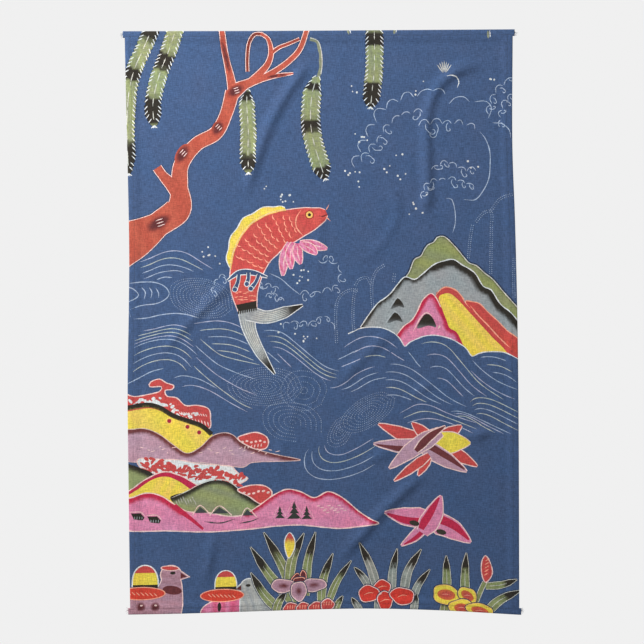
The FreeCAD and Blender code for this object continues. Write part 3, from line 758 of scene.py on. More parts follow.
def draw_lower_islands(art):
    """The nearer islands at the left: green, yellow and pink hills under red trees."""
    crown = [(-192, -142), (-170, -143), (-150, -144), (-132, -148), (-112, -150), (-96, -152), (-92, -156),
              (-87, -161), (-79, -165),
              (-90, -171), (-110, -170), (-130, -170), (-150, -174), (-168, -160), (-180, -157),
              (-192, -150)]
    draw_trees(art, crown, [(-188, -148), (-165, -151), (-145, -157), (-122, -160), (-100, -163),
                             (-84, -167)], 7.4, 105, True)
    rim = [(-212, -147), (-200, -148.5), (-190, -152), (-178, -158)]
    art.patch([*rim, (-186, -168), (-212, -186)], shaded(rim, INK, 8, LEAF, 0.4))
    art.patch([(-212, -186), (-196, -171), (-182, -162), (-166, -156), (-150, -160), (-136, -168),
               (-122, -180), (-150, -192), (-170, -196)],
              CRIMSON, BLUSH, 1.2)
    art.patch([(-208, -186), (-192, -173), (-178, -164), (-165, -161), (-153, -165), (-140, -174),
               (-130, -183), (-158, -192), (-176, -194)],
              streaked(YELLOW, STRAW, (1, -0.6), 17, 0.5))
    green = [(-160, -184), (-142, -177), (-126, -169), (-112, -166), (-98, -169), (-84, -180), (-66, -192),
             (-80, -203), (-110, -208),
             (-136, -204)]
    rim = [(-160, -184), (-142, -176.5), (-126, -168), (-112, -165), (-98, -168), (-84, -180), (-64, -193)]
    art.patch(green, shaded(rim, INK, 7.0, streaked(LEAF, LEAF_GREY, (0.3, 1), 13, 0.7), 0.42))
    art.line(rim, BONE, 0.8, taper=0.1)
    for i in range(9):
        art.tick(-152 + 2.4 * i, -192 + 1.4 * (i % 4), -2.2, 6, BONE * 0.8, 0.7)
    art.patch([(-90, -177), (-80, -173), (-70, -172), (-60, -174), (-54, -180), (-57, -188), (-66, -192),
               (-78, -184)], RED, BLUSH, 1.2)
    for i in range(6):
        art.spot(-83 + 5 * i, -180 - 1.5 * math.sin(1.3 * i), 1.2, BLUSH, 1.5, 20, sides=7)
    pink = [(-212, -188), (-198, -182), (-184, -178), (-170, -181), (-156, -190), (-142, -198), (-120, -200),
            (-100, -204), (-84, -203),
            (-68, -194), (-52, -183), (-38, -177.5), (-24, -180.5), (-10, -187), (4, -181), (16, -185.5),
            (26, -193), (36, -202),
            (48, -210), (57, -215), (38, -218), (18, -220), (0, -218.5), (-25, -215.5), (-50, -216),
            (-80, -218.5), (-120, -220),
            (-160, -218), (-212, -215)]
    near = [(-212, -187), (-198, -181.5), (-184, -178), (-170, -181), (-156, -190), (-148, -196)]
    far = [(-80, -202), (-68, -194.5), (-52, -183.5), (-38, -178), (-24, -181), (-10, -187.5), (4, -181.5),
           (16, -186), (26, -193.5),
           (36, -202), (48, -210), (57, -215)]
    body = streaked(PINK, linear((224, 146, 182)), (0.3, 1), 15, 0.6)
    art.patch(pink, shaded(far, CRIMSON, 4.8, shaded(near, CRIMSON, 7.5, body, 0.55), 0.5), BLUSH, 1.2)
    path = curve([(-156, -192), (-146, -200), (-136, -208), (-126, -217)])
    art.area(ribbon(path, np.linspace(6, 2.5, len(path))), CRIMSON)
    for u, v in ((-194, -202.5), (-177, -206)):
        art.area([(u - 7, v + 3.4), (u + 3, v + 3.4), (u + 7, v - 1), (u + 5.4, v - 4), (u - 4, v - 3)], INK)
        for i in range(4):
            art.tick(u - 3.5 + 2.6 * i, v - 3.4, 0.3, 3.6, STONE, 0.8)
        art.line([(u - 8, v + 4.6), (u + 3, v + 4.6), (u + 8, v - 0.5)], BLUSH, 0.8, taper=0.2)
    for u, v, size in ((-46, -201, 5.2), (-31, -199, 7.5), (-18, -202, 5.6)):
        for level in range(3):
            half, top = size * (0.35 + 0.33 * level), v + size * (1.1 - 0.75 * level)
            art.area([(u - half, top - size * 0.9), (u, top + size * 0.1), (u + half, top - size * 0.9)],
                     linear((52, 58, 54)))
        art.line([(u - size - 2, v - 7), (u - 2, v + size)], BLUSH, 0.9, taper=0.2)
        art.line([(u + size + 2, v - 7), (u + 2, v + size * 0.7)], BLUSH, 0.9, taper=0.2)
    for u, v, size in ((-128, -197, 7), (-108, -198, 9), (-79, -201, 6)):
        art.area([(u - size, v - 3), (u - 1, v + 3.6), (u + size, v - 3)], linear((66, 70, 72)))
        art.line([(u - size - 2, v - 5), (u - 1, v + 5), (u + size + 3, v - 5)], BLUSH, 0.9)
    for points in ([(-125, -209), (-108, -211), (-92, -207)], [(-88, -212), (-76, -210), (-68, -207)]):
        art.line(points, linear((66, 70, 72)), 1.3, taper=0.2)
    for i in range(14):
        art.tick(-8 + 3.6 * (i % 7) + 6 * (i // 7), -196 - 3.4 * (i // 7) - 1.8 * (i % 3), 4.5, 0.4, BLUSH,
                 0.8)


def draw_flying_birds(art):
    """Two plain birds over the water, each made of feathers: wings and tail first, then the body and head."""
    wine = linear((110, 54, 58))
    mauve = streaked(MAUVE, linear((190, 152, 176)), (1, 1), 15, 0.6)
    rosy = streaked(PINK, linear((222, 146, 180)), (1, 0.6), 14, 0.6)
    flocks = [
        [((110, -130), (57, -110), 15, RED, None, 1), ((112, -133), (52, -131), 15, mauve, wine, 1),
         ((112, -126), (92, -108), 12, RED, None, 0), ((124, -132), (160, -152), 13, RED, None, 0),
         ((118, -128), (144, -110), 14, RED, None, 0), ((112, -132), (153, -128), 24, YELLOW, None, 2),
         ((100, -131), (149, -158), 17, mauve, wine, 0), ((110, -144), (98, -164), 8, RED, None, 0),
         ((110, -142), (73, -170), 9, RED, None, 0), ((122, -117), (68, -157), 17, mauve, None, -2),
         ((96, -138), (127, -111), 8, wine, None, 2)],
        [((112, -208), (63, -203), 20, rosy, CRIMSON, 2), ((108, -210), (153, -232), 22, rosy, CRIMSON, 3),
         ((108, -212), (80, -238), 11, rosy, CRIMSON, 2), ((102, -224), (122, -184), 20, rosy, CRIMSON, -2)]]
    for feathers in flocks:
        for root, tip, width, colour, shade, bend in feathers:
            draw_feather(art, root, tip, width, colour, shade, bend)
    for u in (94, 122):
        art.spot(u, -214 - 0.3 * (u - 94), 2.8, INK * 1.6, 1.9, -12, sides=18)


def draw_leaf(art, base, tip, half_width, bend=0.0, colour=LEAF, dark=0.45):
    """A long leaf from base to tip, its tip inked over. bend bows it to its left."""
    base, tip = np.array(base, float), np.array(tip, float)
    along = tip - base
    left = np.array([-along[1], along[0]]) / np.linalg.norm(along)
    path = curve([base, base + 0.5 * along + bend * left, tip], step=3)
    at = shares(path)
    width = 2 * half_width * np.interp(at, [0, 0.35, 0.75, 1], [0.8, 1.0, 0.72, 0.04])
    art.area(ribbon(path, width + 2.6), SHADOW)
    art.area(ribbon(path, width + 1.2), BONE)
    body = streaked(colour, colour * 0.7, left, 3.3, 0.9)

    def blade(points):
        share = (points - base) @ along / (along @ along) + 0.05 * np.sin(points @ left * 2.2)
        return body(points) + (INK - body(points)) * smooth((share - 1 + dark) / 0.14)[:, None]

    art.area(ribbon(path, width), blade)
    art.line(path[(at > 0.06) & (at < 0.7)], BONE, 0.6, smooth=False, taper=0.2)


def draw_petal(art, u, v, long, short, turn, colour, rim, heart=None):
    """One oval petal with a rim, slightly uneven, and a dark heart."""
    angle = np.arange(26) * 2 * math.pi / 26
    uneven = 1 + 0.05 * np.sin(3 * angle + u) + 0.04 * np.sin(5 * angle + v)
    for grow, paint_with in ((1.8, SHADOW), (0.9, rim), (0.0, colour)):
        x, y = (long + grow) * uneven * np.cos(angle), (short + grow) * uneven * np.sin(angle)
        art.area(turned(x, y, u, v, turn), paint_with)
    if heart is not None:
        art.spot(u, v, short * 0.62, glow(heart, colour, u, v, long * 0.64, short * 0.64, turn),
                 long / short, turn, sides=20)


def draw_plants(art):
    """Water plants along the bottom edge, with leaves and round flowers."""
    for base, tip, half, bend in (((-44, -308), (-77, -264), 4.8, 3), ((-34, -296), (-77, -237), 5.0, 2),
                                  ((-28, -296), (-63, -222), 5.2, -2),
                                  ((-38, -280), (-21, -224), 5.0, 4), ((-20, -290), (-9, -223), 4.6, 3),
                                  ((-4, -303), (9, -246), 4.4, 4),
                                  ((2, -303), (28, -254), 3.6, 3), ((10, -309), (19, -291), 3.4, 1),
                                  ((-52, -309), (-40, -285), 4.0, 2)):
        draw_leaf(art, base, tip, half, bend)
    art.patch([(-37, -250), (-41, -240), (-41, -230), (-36, -223), (-31, -230), (-31, -240)],
              blend_along(YELLOW, RED, -236, -228, 1), PALE, 1.0)
    art.line([(-38, -228), (-36.5, -236), (-37, -246)], YELLOW * 0.8, 0.7, taper=0.3)
    grey = linear((158, 164, 158))
    for base, tip, half, bend in (((48, -284), (31, -261), 3.6, -1), ((56, -288), (36.5, -235), 4.4, -2),
                                  ((70, -292), (76, -241), 4.0, 2),
                                  ((82, -294), (101, -241), 4.4, 5), ((90, -300), (110, -262), 3.6, 3),
                                  ((38, -308), (28, -293), 3.2, 0),
                                  ((56, -310), (55, -290), 3.6, 0), ((92, -310), (96, -288), 3.6, 0)):
        draw_leaf(art, base, tip, half, bend, colour=grey)
    for base, tip, half, bend in (((128, -288), (127, -247), 4.2, 0), ((147, -294), (148, -243), 4.4, 1),
                                  ((168, -277), (201, -268), 3.6, -2),
                                  ((164, -310), (205, -279), 4.6, 4), ((124, -312), (126, -292), 4.4, 0)):
        draw_leaf(art, base, tip, half, bend)
    stem = curve([(156, -300), (162, -284), (167, -273)])
    art.band(stem, 4.0, LEAF * 0.85, BONE, 1.4)
    art.patch([(168, -273), (164, -264), (164, -252), (168, -245), (173, -252), (175, -264)], RED, BLUSH,
              1.1)
    for i in range(5):
        art.tick(166 + 0.4 * i, -266 + 3.8 * i, 5.0, 3.2, SALMON, 0.9)

    for petal in ((-30, -272, 5.5, 3.2, 60), (-22, -269, 5.0, 2.6, 100), (-26, -274, 6, 3.0, 0)):
        draw_petal(art, *petal, WINE, SALMON)
    for petal in ((-43, -279, 12, 6.4, -3), (-11, -279, 12, 6.2, 3), (-27, -285, 9.5, 7.5, 90)):
        draw_petal(art, *petal, linear((180, 140, 158)), BLUSH, WINE)
    for petal in ((-35, -303, 8, 5.5, 4), (-22, -303, 7, 5.5, -3), (-8, -303, 8, 6, 0),
                  (3, -300, 6.5, 5.5, 10)):
        draw_petal(art, *petal, RED, BLUSH)
        for i in range(4):
            art.tick(petal[0] - 4 + 2.6 * i, petal[1] - 1, 0.5, 5, SALMON, 0.8)
    scarlet = linear((210, 62, 52))
    for petal in ((60, -282, 8.5, 6.8, 15), (46, -289, 10.2, 8.2, 6), (63, -296, 7.4, 9.4, 0),
                  (81, -291, 12, 8.4, -8)):
        draw_petal(art, *petal, scarlet, BLUSH)
        art.line([(petal[0] - 5, petal[1] - 1.5), (petal[0], petal[1] + 1), (petal[0] + 5, petal[1] + 0.6)],
                 SALMON, 1.0, taper=0.4)
    art.tick(55, -291, 5, 3, BLUSH, 1.4)
    for petal, heart in (((127, -288, 13.5, 9.6, -8), (9.5, 5.6, -6)),
                         ((149, -288, 9.6, 7.4, -35), (7.4, 4.6, -35)),
                         ((143, -301, 12.6, 8.2, 0), (8, 4.8, 0)),
                         ((162, -303, 13.5, 7, -12), (9.5, 4.2, -12))):
        draw_petal(art, *petal, YELLOW, STRAW)
        u, v = petal[:2]
        long, short, turn = heart
        art.spot(u, v, short, glow(RED, linear((214, 120, 60)), u, v, long * 1.3, short * 1.3, turn),
                 long / short, turn, sides=18)
        art.line([(u - 0.5 * long, v), (u, v + 0.6), (u + 0.5 * long, v - 0.3)], SALMON, 0.8, taper=0.4)


def draw_parcel(art, u, v, brim, crown):
    """A striped parcel, 2 x crown wide, on a red brim, 2 x brim wide. (u, v) is the middle of its base."""
    angle = np.linspace(0, math.pi, 17)
    x, y = crown * np.cos(angle), 1.68 * crown * np.sin(angle) ** 0.7
    art.area(np.column_stack([u + x * 1.1, v + y * 1.06]), PALE)
    art.area(np.column_stack([u + x, v + y]), YELLOW)
    top = y > 0.9 * crown
    art.area(np.column_stack([u + x[top], v + y[top]]), RED)
    art.area([(u - crown, v + 2), (u + crown, v + 2), (u + crown, v - 2), (u - crown, v - 2)], INK)
    art.spot(u - 4, v - 7, 7.0, SALMON, (brim + 1.2) / 7.0, sides=26)
    art.spot(u - 4, v - 7, 6.0, linear((212, 70, 54)), brim / 6.0, sides=26)
    for i in range(7):
        art.tick(u - 19 + 0.19 * brim * i, v - 4.6 - 0.3 * i, 4.2, -4, SALMON, 0.9)


def draw_resting_bird(art, u, v, size, facing, colour, rim):
    """A resting bird's neck, head and beak. Its head is at (u, v). facing is 1 for right, -1 for left."""
    neck = curve([(u, v), (u - facing * 0.1 * size, v - 1.5 * size),
                  (u - facing * 0.9 * size, v - 3.8 * size)])
    width = np.interp(shares(neck), [0, 0.35, 0.7, 1], [1.7, 2.5, 3.6, 4.0]) * size
    for margin, paint_with in ((1.1, rim), (0.0, colour)):
        art.area(ribbon(neck, width + 2 * margin), paint_with)
        art.spot(u, v, size + margin, paint_with, 1.1, sides=22)
        beak = np.array([(0.8, 0.55), (1.9, -0.25), (0.7, -0.6)]) * (size + margin)
        art.area(np.column_stack([u + facing * beak[:, 0], v + beak[:, 1]]), paint_with)
    art.area([(u + facing * 1.05 * size, v + 0.25 * size), (u + facing * 1.75 * size, v - 0.22 * size),
              (u + facing * 1.05 * size, v - 0.4 * size)], MAROON)
    art.spot(u + facing * 0.2 * size, v + 0.2 * size, 0.17 * size, INK, 1.8, sides=12)


def draw_water_birds(art):
    """Two resting water birds under round striped parcels, at the bottom left."""
    plum = linear((172, 128, 142))
    body = streaked(plum, MAUVE, (0.2, 1), 9, 0.6)
    art.spot(-188, -300, 17, BLUSH, 2.1, sides=30)
    draw_resting_bird(art, -160, -264, 9.5, 1, body, BLUSH)
    art.spot(-188, -300, 15.9, body, 2.15, sides=30)
    art.spot(-159, -280, 4.6, linear((104, 50, 54)), 2.2, -8, sides=20)
    for i in range(7):
        art.tick(-168 + 2.6 * i, -292 + 0.3 * i, 0.2, 5, MAUVE, 1.2)
    art.spot(-161, -257, 2.8, BLUSH, 3.6, -3, sides=20)
    art.spot(-161, -257, 2.0, RED, 4.4, -3, sides=20)
    draw_parcel(art, -187, -276, 24, 13)
    for u in (-192, -177):
        art.spot(u, -297, 5.4, glow(linear((96, 44, 50)), plum, u, -297, 5.6, core=0.6), sides=16)
        art.spot(u + 0.6, -295.5, 1.0, BLUSH * 0.8, 1.5, sides=8)

    art.spot(-96, -305, 16, BLUSH, 2.15, sides=30)
    art.spot(-96, -305, 15, streaked(PINK, ROSE, (1, 0), 12, 0.8), 2.22, sides=30)
    draw_resting_bird(art, -78, -279, 8.5, -1, streaked(STONE, BONE, (1, 0.3), 9, 0.5), PALE)
    draw_parcel(art, -103, -280, 22, 11)
    art.spot(-110, -299, 1.9, INK, 2.6, 88, sides=14)


def draw_print():
    art = Print()
    draw_mountains(art)
    draw_waves(art)
    draw_foam(art)
    draw_fronds(art)
    draw_branch(art)
    draw_fish(art)
    draw_upper_islands(art)
    draw_lower_islands(art)
    draw_flying_birds(art)
    draw_water_birds(art)
    draw_plants(art)
    return art.shapes


# ---------------------------------------------------------------- how the towel lies
def eased(pairs):
    """A smooth function through a few (place, value) pairs."""
    path = curve(pairs, step=0.01)
    return lambda at: np.interp(at, path[:, 0], path[:, 1])


# How far each edge lies from its straight line, by the share of the way down it or across it.
LEFT_PULL = eased([(0, -1.6), (0.12, 0.0), (0.35, 3.1), (0.47, 2.9), (0.62, 1.6), (0.8, 2.8), (1, 4.3)])
RIGHT_PULL = eased([(0, -2.3), (0.19, -2.7), (0.33, 0.2), (0.5, 2.7), (0.7, 4.0), (1, 4.6)])
TOP_PULL = eased([(0, -0.9), (0.4, -0.5), (1, 1.1)])
BOTTOM_PULL = eased([(0, -1.0), (0.15, 0.2), (0.45, 4.1), (0.62, 5.3), (0.8, 3.4), (1, -1.2)])


def laid(flat):
    """Where points of the flat cloth lie on the floor, seen from above."""
    across = flat[:, 0] / (2 * HALF_WIDTH) + 0.5
    down = 0.5 - flat[:, 1] / (2 * HALF_LENGTH)
    du = LEFT_PULL(down) * (1 - across) + RIGHT_PULL(down) * across
    dv = TOP_PULL(across) * (1 - down) + BOTTOM_PULL(across) * down
    return flat + np.column_stack([du, dv])


# Each crease before it settles: its crest, how high it stands, and the width of its left and right slopes.
CREASES = [
    ([(-3, 279), (-21, 258), (-53, 206), (-82, 127)], 5.0, 6.5, 5.0),
    ([(179, 272), (137, 257), (115, 222), (113, 159), (110, 94)], 5.0, 6.5, 5.0),
    ([(-82, 56), (-130, 10), (-178, -40)], 3.6, 6.5, 5.5),
    ([(10, 138), (-3, 96), (-8, 23), (-24, -71), (-44, -134), (-46, -181)], 2.3, 6.5, 5.5),
    ([(85, -3), (48, -34), (8, -76)], 3.4, 7.0, 6.0),
    ([(88, -132), (62, -142), (33, -157)], 3.0, 5.0, 4.5),
    ([(193, -113), (161, -119), (130, -124)], 4.0, 5.5, 4.5),
    ([(112, -155), (67, -196), (10, -259)], 4.8, 7.5, 5.5),
    ([(-113, -207), (-120, -249), (-128, -288)], 3.5, 5.5, 4.5),
    ([(70, 154), (79, 112), (57, 75), (31, 54)], 2.0, 5.0, 4.5),
    ([(130, -55), (99, -76), (78, -97)], 2.0, 5.0, 4.5),
]


def crease_lift(flat):
    """How far the creases lift each point, in millimetres."""
    lift = np.zeros(len(flat))
    for crest, rise, left_width, right_width in CREASES:
        path = curve(crest, step=5)
        nearest = np.full(len(flat), 1e9)
        side, along = np.zeros(len(flat)), np.zeros(len(flat))
        run = 0.0
        for a, b in zip(path[:-1], path[1:]):
            length = np.linalg.norm(b - a)
            way = (b - a) / length
            reach = np.clip((flat - a) @ way, 0, length)
            gap = flat - a - reach[:, None] * way
            distance = np.hypot(gap[:, 0], gap[:, 1])
            closer = distance < nearest
            nearest[closer] = distance[closer]
            side[closer] = gap[closer, 0]
            along[closer] = run + reach[closer]
            run += length
        width = right_width + (left_width - right_width) * smooth(0.5 - side / 6)
        fade = smooth(np.minimum(along, run - along) / 38)
        ridge = rise * fade / np.cosh(np.minimum(nearest / width, 30))
        lift = (lift ** 3 + ridge ** 3) ** (1 / 3)
    return lift


def ripple(flat, length, seed):
    """A gentle random swell between -1 and 1, with waves about this long."""
    pick = random.Random(seed)
    total = np.zeros(len(flat))
    for _ in range(16):
        angle, stretch = pick.uniform(0, math.pi), pick.uniform(0.7, 1.5)
        k = 2 * math.pi / (length * stretch)
        total += np.sin(k * (flat @ np.array([math.cos(angle), math.sin(angle)])) + pick.uniform(0, 6.28))
    return total / 6


def hem_share(flat):
    """1 where the cloth lies over a hem, falling to 0 inside it."""
    inset = np.minimum(HALF_WIDTH - np.abs(flat[:, 0]), HALF_LENGTH - np.abs(flat[:, 1]))
    return 1 - smooth((inset - HEM_SLOPE_START) / HEM_SLOPE)


def edge_inset(flat):
    """How far each flat point is inside the outline, whose top and bottom hems stick out past its sides."""
    u, v = np.abs(flat[:, 0]), np.abs(flat[:, 1])
    band = v >= NOTCH
    side = HALF_WIDTH + np.where(band, EAR, 0) - u
    corner = np.where(u > HALF_WIDTH, v - NOTCH, np.hypot(HALF_WIDTH - u, v - NOTCH))
    return np.minimum.reduce([side, HALF_LENGTH - v, np.where(band, corner, FAR)])


def seam_inset(flat):
    """How far each flat point is from the nearest seam line."""
    u, v = np.abs(flat[:, 0]), np.abs(flat[:, 1])
    side = np.where(v < NOTCH, np.abs(HALF_WIDTH - u - SEAM_INSET), FAR)
    return np.minimum(np.abs(HALF_LENGTH - v - SEAM_INSET), side)


SETTLED = None  # settle()'s result, once it has run


def dropped(flat):
    """Height of the cloth's underside in millimetres, away from its outer fold, before the cloth settles."""
    over_hem = hem_share(flat)
    free = smooth((np.minimum(HALF_WIDTH - np.abs(flat[:, 0]), HALF_LENGTH - np.abs(flat[:, 1])) - 12) / 30)
    swell = 0.45 * np.clip(ripple(flat, 62, 3) + 0.25, 0, 2) + 0.16 * np.clip(ripple(flat, 19, 5), 0, 2)
    pucker = 0.09 * (1 + ripple(flat, 9, 8)) * np.exp(-(seam_inset(flat) / 5) ** 2) * (edge_inset(flat) > 0.9)
    hem_top = HEM_HEIGHT - CLOTH - UNDER_GAP
    return UNDER_GAP + hem_top * over_hem + crease_lift(flat) * free + swell * free + pucker


def settled(flat):
    """How far each flat point moved when the cloth settled, read from SETTLED by cubic B-splines."""
    if SETTLED is None:
        return np.zeros((len(flat), 3))
    rows, columns = SETTLED.shape[:2]
    x = (flat[:, 0] / HALF_WIDTH + 1) / 2 * (columns - 1)
    y = (flat[:, 1] / HALF_LENGTH + 1) / 2 * (rows - 1)

    def weights(t):
        t = t[:, None]
        return ((1 - t) ** 3 / 6, (3 * t ** 3 - 6 * t ** 2 + 4) / 6,
                (1 + 3 * t + 3 * t ** 2 - 3 * t ** 3) / 6, t ** 3 / 6)

    left, low = np.floor(x).astype(int), np.floor(y).astype(int)
    total = np.zeros((len(flat), 3))
    for j, share_up in enumerate(weights(y - low)):
        row = np.clip(low + j - 1, 0, rows - 1)
        for i, share_across in enumerate(weights(x - left)):
            total += share_up * share_across * SETTLED[row, np.clip(left + i - 1, 0, columns - 1)]
    return total * (1 - hem_share(flat))[:, None]


def underside(flat):
    """Height of the settled cloth's underside, away from its outer fold."""
    return np.maximum(dropped(flat) + settled(flat)[:, 2], UNDER_GAP)


def face(flat):
    """Height of the printed face, in millimetres. It rolls over the outer fold at the edge."""
    inset = edge_inset(flat)
    height = underside(flat) + CLOTH - SEAM_DENT * np.exp(-(seam_inset(flat) / SEAM_DENT_REACH) ** 2)
    depth = np.clip(inset, 0, FOLD_RADIUS)
    rolled = FOLD_RADIUS + np.sqrt(np.clip(FOLD_RADIUS ** 2 - (FOLD_RADIUS - depth) ** 2, 0, None))
    return np.where(inset < FOLD_RADIUS, rolled, height)


def back(flat):
    """Height of the cloth's unprinted side."""
    inset = edge_inset(flat)
    radius = FOLD_RADIUS - CLOTH
    depth = np.clip(inset - CLOTH, 0, radius)
    rolled = FOLD_RADIUS + np.sqrt(np.clip(radius ** 2 - (radius - depth) ** 2, 0, None))
    return np.where(inset < FOLD_RADIUS, rolled, underside(flat))


# ---------------------------------------------------------------- meshes
def make_mesh(name, corners, faces):
    """A smooth-shaded mesh object from points in millimetres."""
    mesh = bpy.data.meshes.new(name)
    mesh.from_pydata((np.asarray(corners) * MM).tolist(), [], faces)
    mesh.validate()
    mesh.polygons.foreach_set("use_smooth", [True] * len(mesh.polygons))
    mesh.update()
    obj = bpy.data.objects.new(name, mesh)
    bpy.context.scene.collection.objects.link(obj)
    return obj


def settle():
    """Lets a coarse copy of the creased cloth settle under its weight, its hems held, in a cloth simulation.

    Returns how far it moved, in millimetres, as rows x columns x 3 over the flat cloth. It falls on a floor
    lower by FLOOR_DROP, which makes up for the gaps that the simulation keeps."""
    columns, rows = SETTLE_GRID
    u, v = np.meshgrid(np.linspace(-HALF_WIDTH, HALF_WIDTH, columns),
                       np.linspace(-HALF_LENGTH, HALF_LENGTH, rows))
    flat = np.column_stack([u.ravel(), v.ravel()])
    start = np.column_stack([laid(flat), dropped(flat)])
    faces = [[i, i + 1, i + columns + 1, i + columns]
             for r in range(rows - 1) for i in range(r * columns, (r + 1) * columns - 1)]
    sheet = make_mesh("settling_sheet", start, faces)
    bpy.ops.mesh.primitive_plane_add(size=2, location=(0, 0, -FLOOR_DROP * MM))
    ground = bpy.context.object
    ground.modifiers.new("collision", "COLLISION")
    ground.collision.thickness_outer = SURFACE_GAP
    held = sheet.vertex_groups.new(name="hems")
    held.add(np.flatnonzero(hem_share(flat) > 0.5).tolist(), 1.0, "REPLACE")
    cloth = sheet.modifiers.new("cloth", "CLOTH")
    cloth.settings.quality = 6
    cloth.settings.mass = SHEET_MASS
    cloth.settings.bending_stiffness = BENDING_STIFFNESS
    cloth.settings.vertex_group_mass = "hems"
    cloth.collision_settings.distance_min = SURFACE_GAP
    cloth.point_cache.frame_end = SETTLE_FRAMES
    for frame_no in range(1, SETTLE_FRAMES + 1):
        bpy.context.scene.frame_set(frame_no)
    shown = sheet.evaluated_get(bpy.context.evaluated_depsgraph_get()).data
    end = np.empty(len(flat) * 3)
    shown.vertices.foreach_get("co", end)
    bpy.context.scene.frame_set(1)
    for obj in (sheet, ground):
        bpy.data.objects.remove(obj, do_unlink=True)
    return (end.reshape(-1, 3) / MM - start).reshape(rows, columns, 3)


def paint(obj, colours):
    """Stores a colour for each face corner."""
    layer = obj.data.color_attributes.new("print", "FLOAT_COLOR", "CORNER")
    with_alpha = np.column_stack([colours, np.ones(len(colours))])
    layer.data.foreach_set("color", with_alpha.astype(np.float32).ravel())


def map_flat(obj, flat):
    """Stores each vertex's place on the flat cloth, in metres, for the weave."""
    corner = np.empty(len(obj.data.loops), int)
    obj.data.loops.foreach_get("vertex_index", corner)
    layer = obj.data.uv_layers.new(name="flat")
    layer.data.foreach_set("uv", (flat[corner] * MM).astype(np.float32).ravel())


def ring(inset, spacing=3.0):
    """The towel's outline, this far inside its edge, with softened corners at the hem ends."""
    side, ear, notch, end = HALF_WIDTH - inset, HALF_WIDTH + EAR - inset, NOTCH + inset, HALF_LENGTH - inset
    bevel = 0.5
    quarter = [(side, 0), (side, notch - bevel), (side + 0.3 * bevel, notch), (ear - bevel, notch),
               (ear, notch + bevel), (ear, end - bevel), (ear - bevel, end), (0, end)]
    half = quarter + [(-u, v) for u, v in quarter[-2::-1]]
    points = half[:-1] + [(-u, -v) for u, v in half[:-1]]
    out = []
    for a, b in zip(points, points[1:] + points[:1]):
        a, b = np.array(a), np.array(b)
        count = max(1, round(np.linalg.norm(b - a) / spacing))
        out += [a + (b - a) * i / count for i in range(count)]
    return np.array(out)


def inside(outline, points):
    """Which points are inside an outline that may cross itself."""
    a, b = outline, np.roll(outline, -1, axis=0)
    u, v = points[:, :1], points[:, 1:]
    turn = (b[:, 0] - a[:, 0]) * (v - a[:, 1]) - (u - a[:, 0]) * (b[:, 1] - a[:, 1])
    up = (a[:, 1] <= v) & (b[:, 1] > v) & (turn > 0)
    down = (a[:, 1] > v) & (b[:, 1] <= v) & (turn < 0)
    return up.sum(1) != down.sum(1)


def colours_at(shapes, middles, places):
    """The print's colour for each middle, given at that face's corner places (N x corners x 2)."""
    colours = np.broadcast_to(GROUND, places.shape[:2] + (3,)).copy()
    order = np.argsort(middles[:, 0])
    across = middles[order, 0]
    for outline, colour in shapes:
        low, high = outline.min(0), outline.max(0)
        near = order[np.searchsorted(across, low[0]):np.searchsorted(across, high[0])]
        near = near[(middles[near, 1] > low[1]) & (middles[near, 1] < high[1])]
        if len(near) == 0:
            continue
        near = near[inside(outline, middles[near])]
        if callable(colour):
            colours[near] = colour(places[near].reshape(-1, 2)).reshape(-1, places.shape[1], 3)
        else:
            colours[near] = colour
    return colours


def triangulate(loops, points):
    """Triangles whose edges follow the loops, using the extra points as well."""
    corners, edges = [], []
    for loop, closed in loops:
        first = len(corners)
        corners += [Vector((float(u), float(v))) for u, v in loop]
        last = len(corners) - 1
        edges += [(i, i + 1) for i in range(first, last)]
        if closed:
            edges.append((last, first))
    corners += [Vector((float(u), float(v))) for u, v in points]
    made = delaunay_2d_cdt(corners, edges, [], 0, 1e-4, False)
    flat = np.array([(p.x, p.y) for p in made[0]])
    return flat, np.array(made[2])


def grid(spacing, margin):
    """Staggered points over the towel, at least the margin inside its edge."""
    rows = []
    for i, v in enumerate(np.arange(-HALF_LENGTH, HALF_LENGTH, spacing * 0.87)):
        u = np.arange(-HALF_WIDTH - EAR, HALF_WIDTH + EAR, spacing) + (i % 2) * spacing / 2
        rows.append(np.column_stack([u, np.full(len(u), v)]))
    points = np.vstack(rows)
    return points[edge_inset(points) > margin]


def border_of(triangles):
    """The triangles' outer border as an ordered loop of vertices."""
    following = {}
    seen = {(a, b) for t in triangles.tolist() for a, b in ((t[0], t[1]), (t[1], t[2]), (t[2], t[0]))}
    for a, b in seen:
        if (b, a) not in seen:
            following[a] = b
    start = min(following)
    loop = [start]
    while following[loop[-1]] != start:
        loop.append(following[loop[-1]])
    return loop


def turns(flat, triangles):
    """Twice each triangle's area, below 0 where it turns clockwise."""
    a, b, c = (flat[triangles[:, i]] for i in range(3))
    return (b[:, 0] - a[:, 0]) * (c[:, 1] - a[:, 1]) - (b[:, 1] - a[:, 1]) * (c[:, 0] - a[:, 0])


def wound(flat, triangles, sign=1):
    """The triangles, all turning anticlockwise, or clockwise for sign -1."""
    wrong = sign * turns(flat, triangles) < 0
    return np.where(wrong[:, None], triangles[:, ::-1], triangles)


def face_loops():
    """Lines that the mesh of the cloth's face follows: the rolled edge and the dents along the seams."""
    loops = [(ring(inset), True) for inset in (0.0, 0.12, 0.4, FOLD_RADIUS)]
    for offset in (-0.5, 0.0, 0.5):
        inset = SEAM_INSET + offset
        up = np.arange(-NOTCH, NOTCH, 3.0)
        across = np.arange(-HALF_WIDTH, HALF_WIDTH, 3.0)
        for side in (-1, 1):
            x, y = side * (HALF_WIDTH - inset), side * (HALF_LENGTH - inset)
            loops.append((np.column_stack([np.full(len(up), x), up]), False))
            loops.append((np.column_stack([across, np.full(len(across), y)]), False))
    return loops


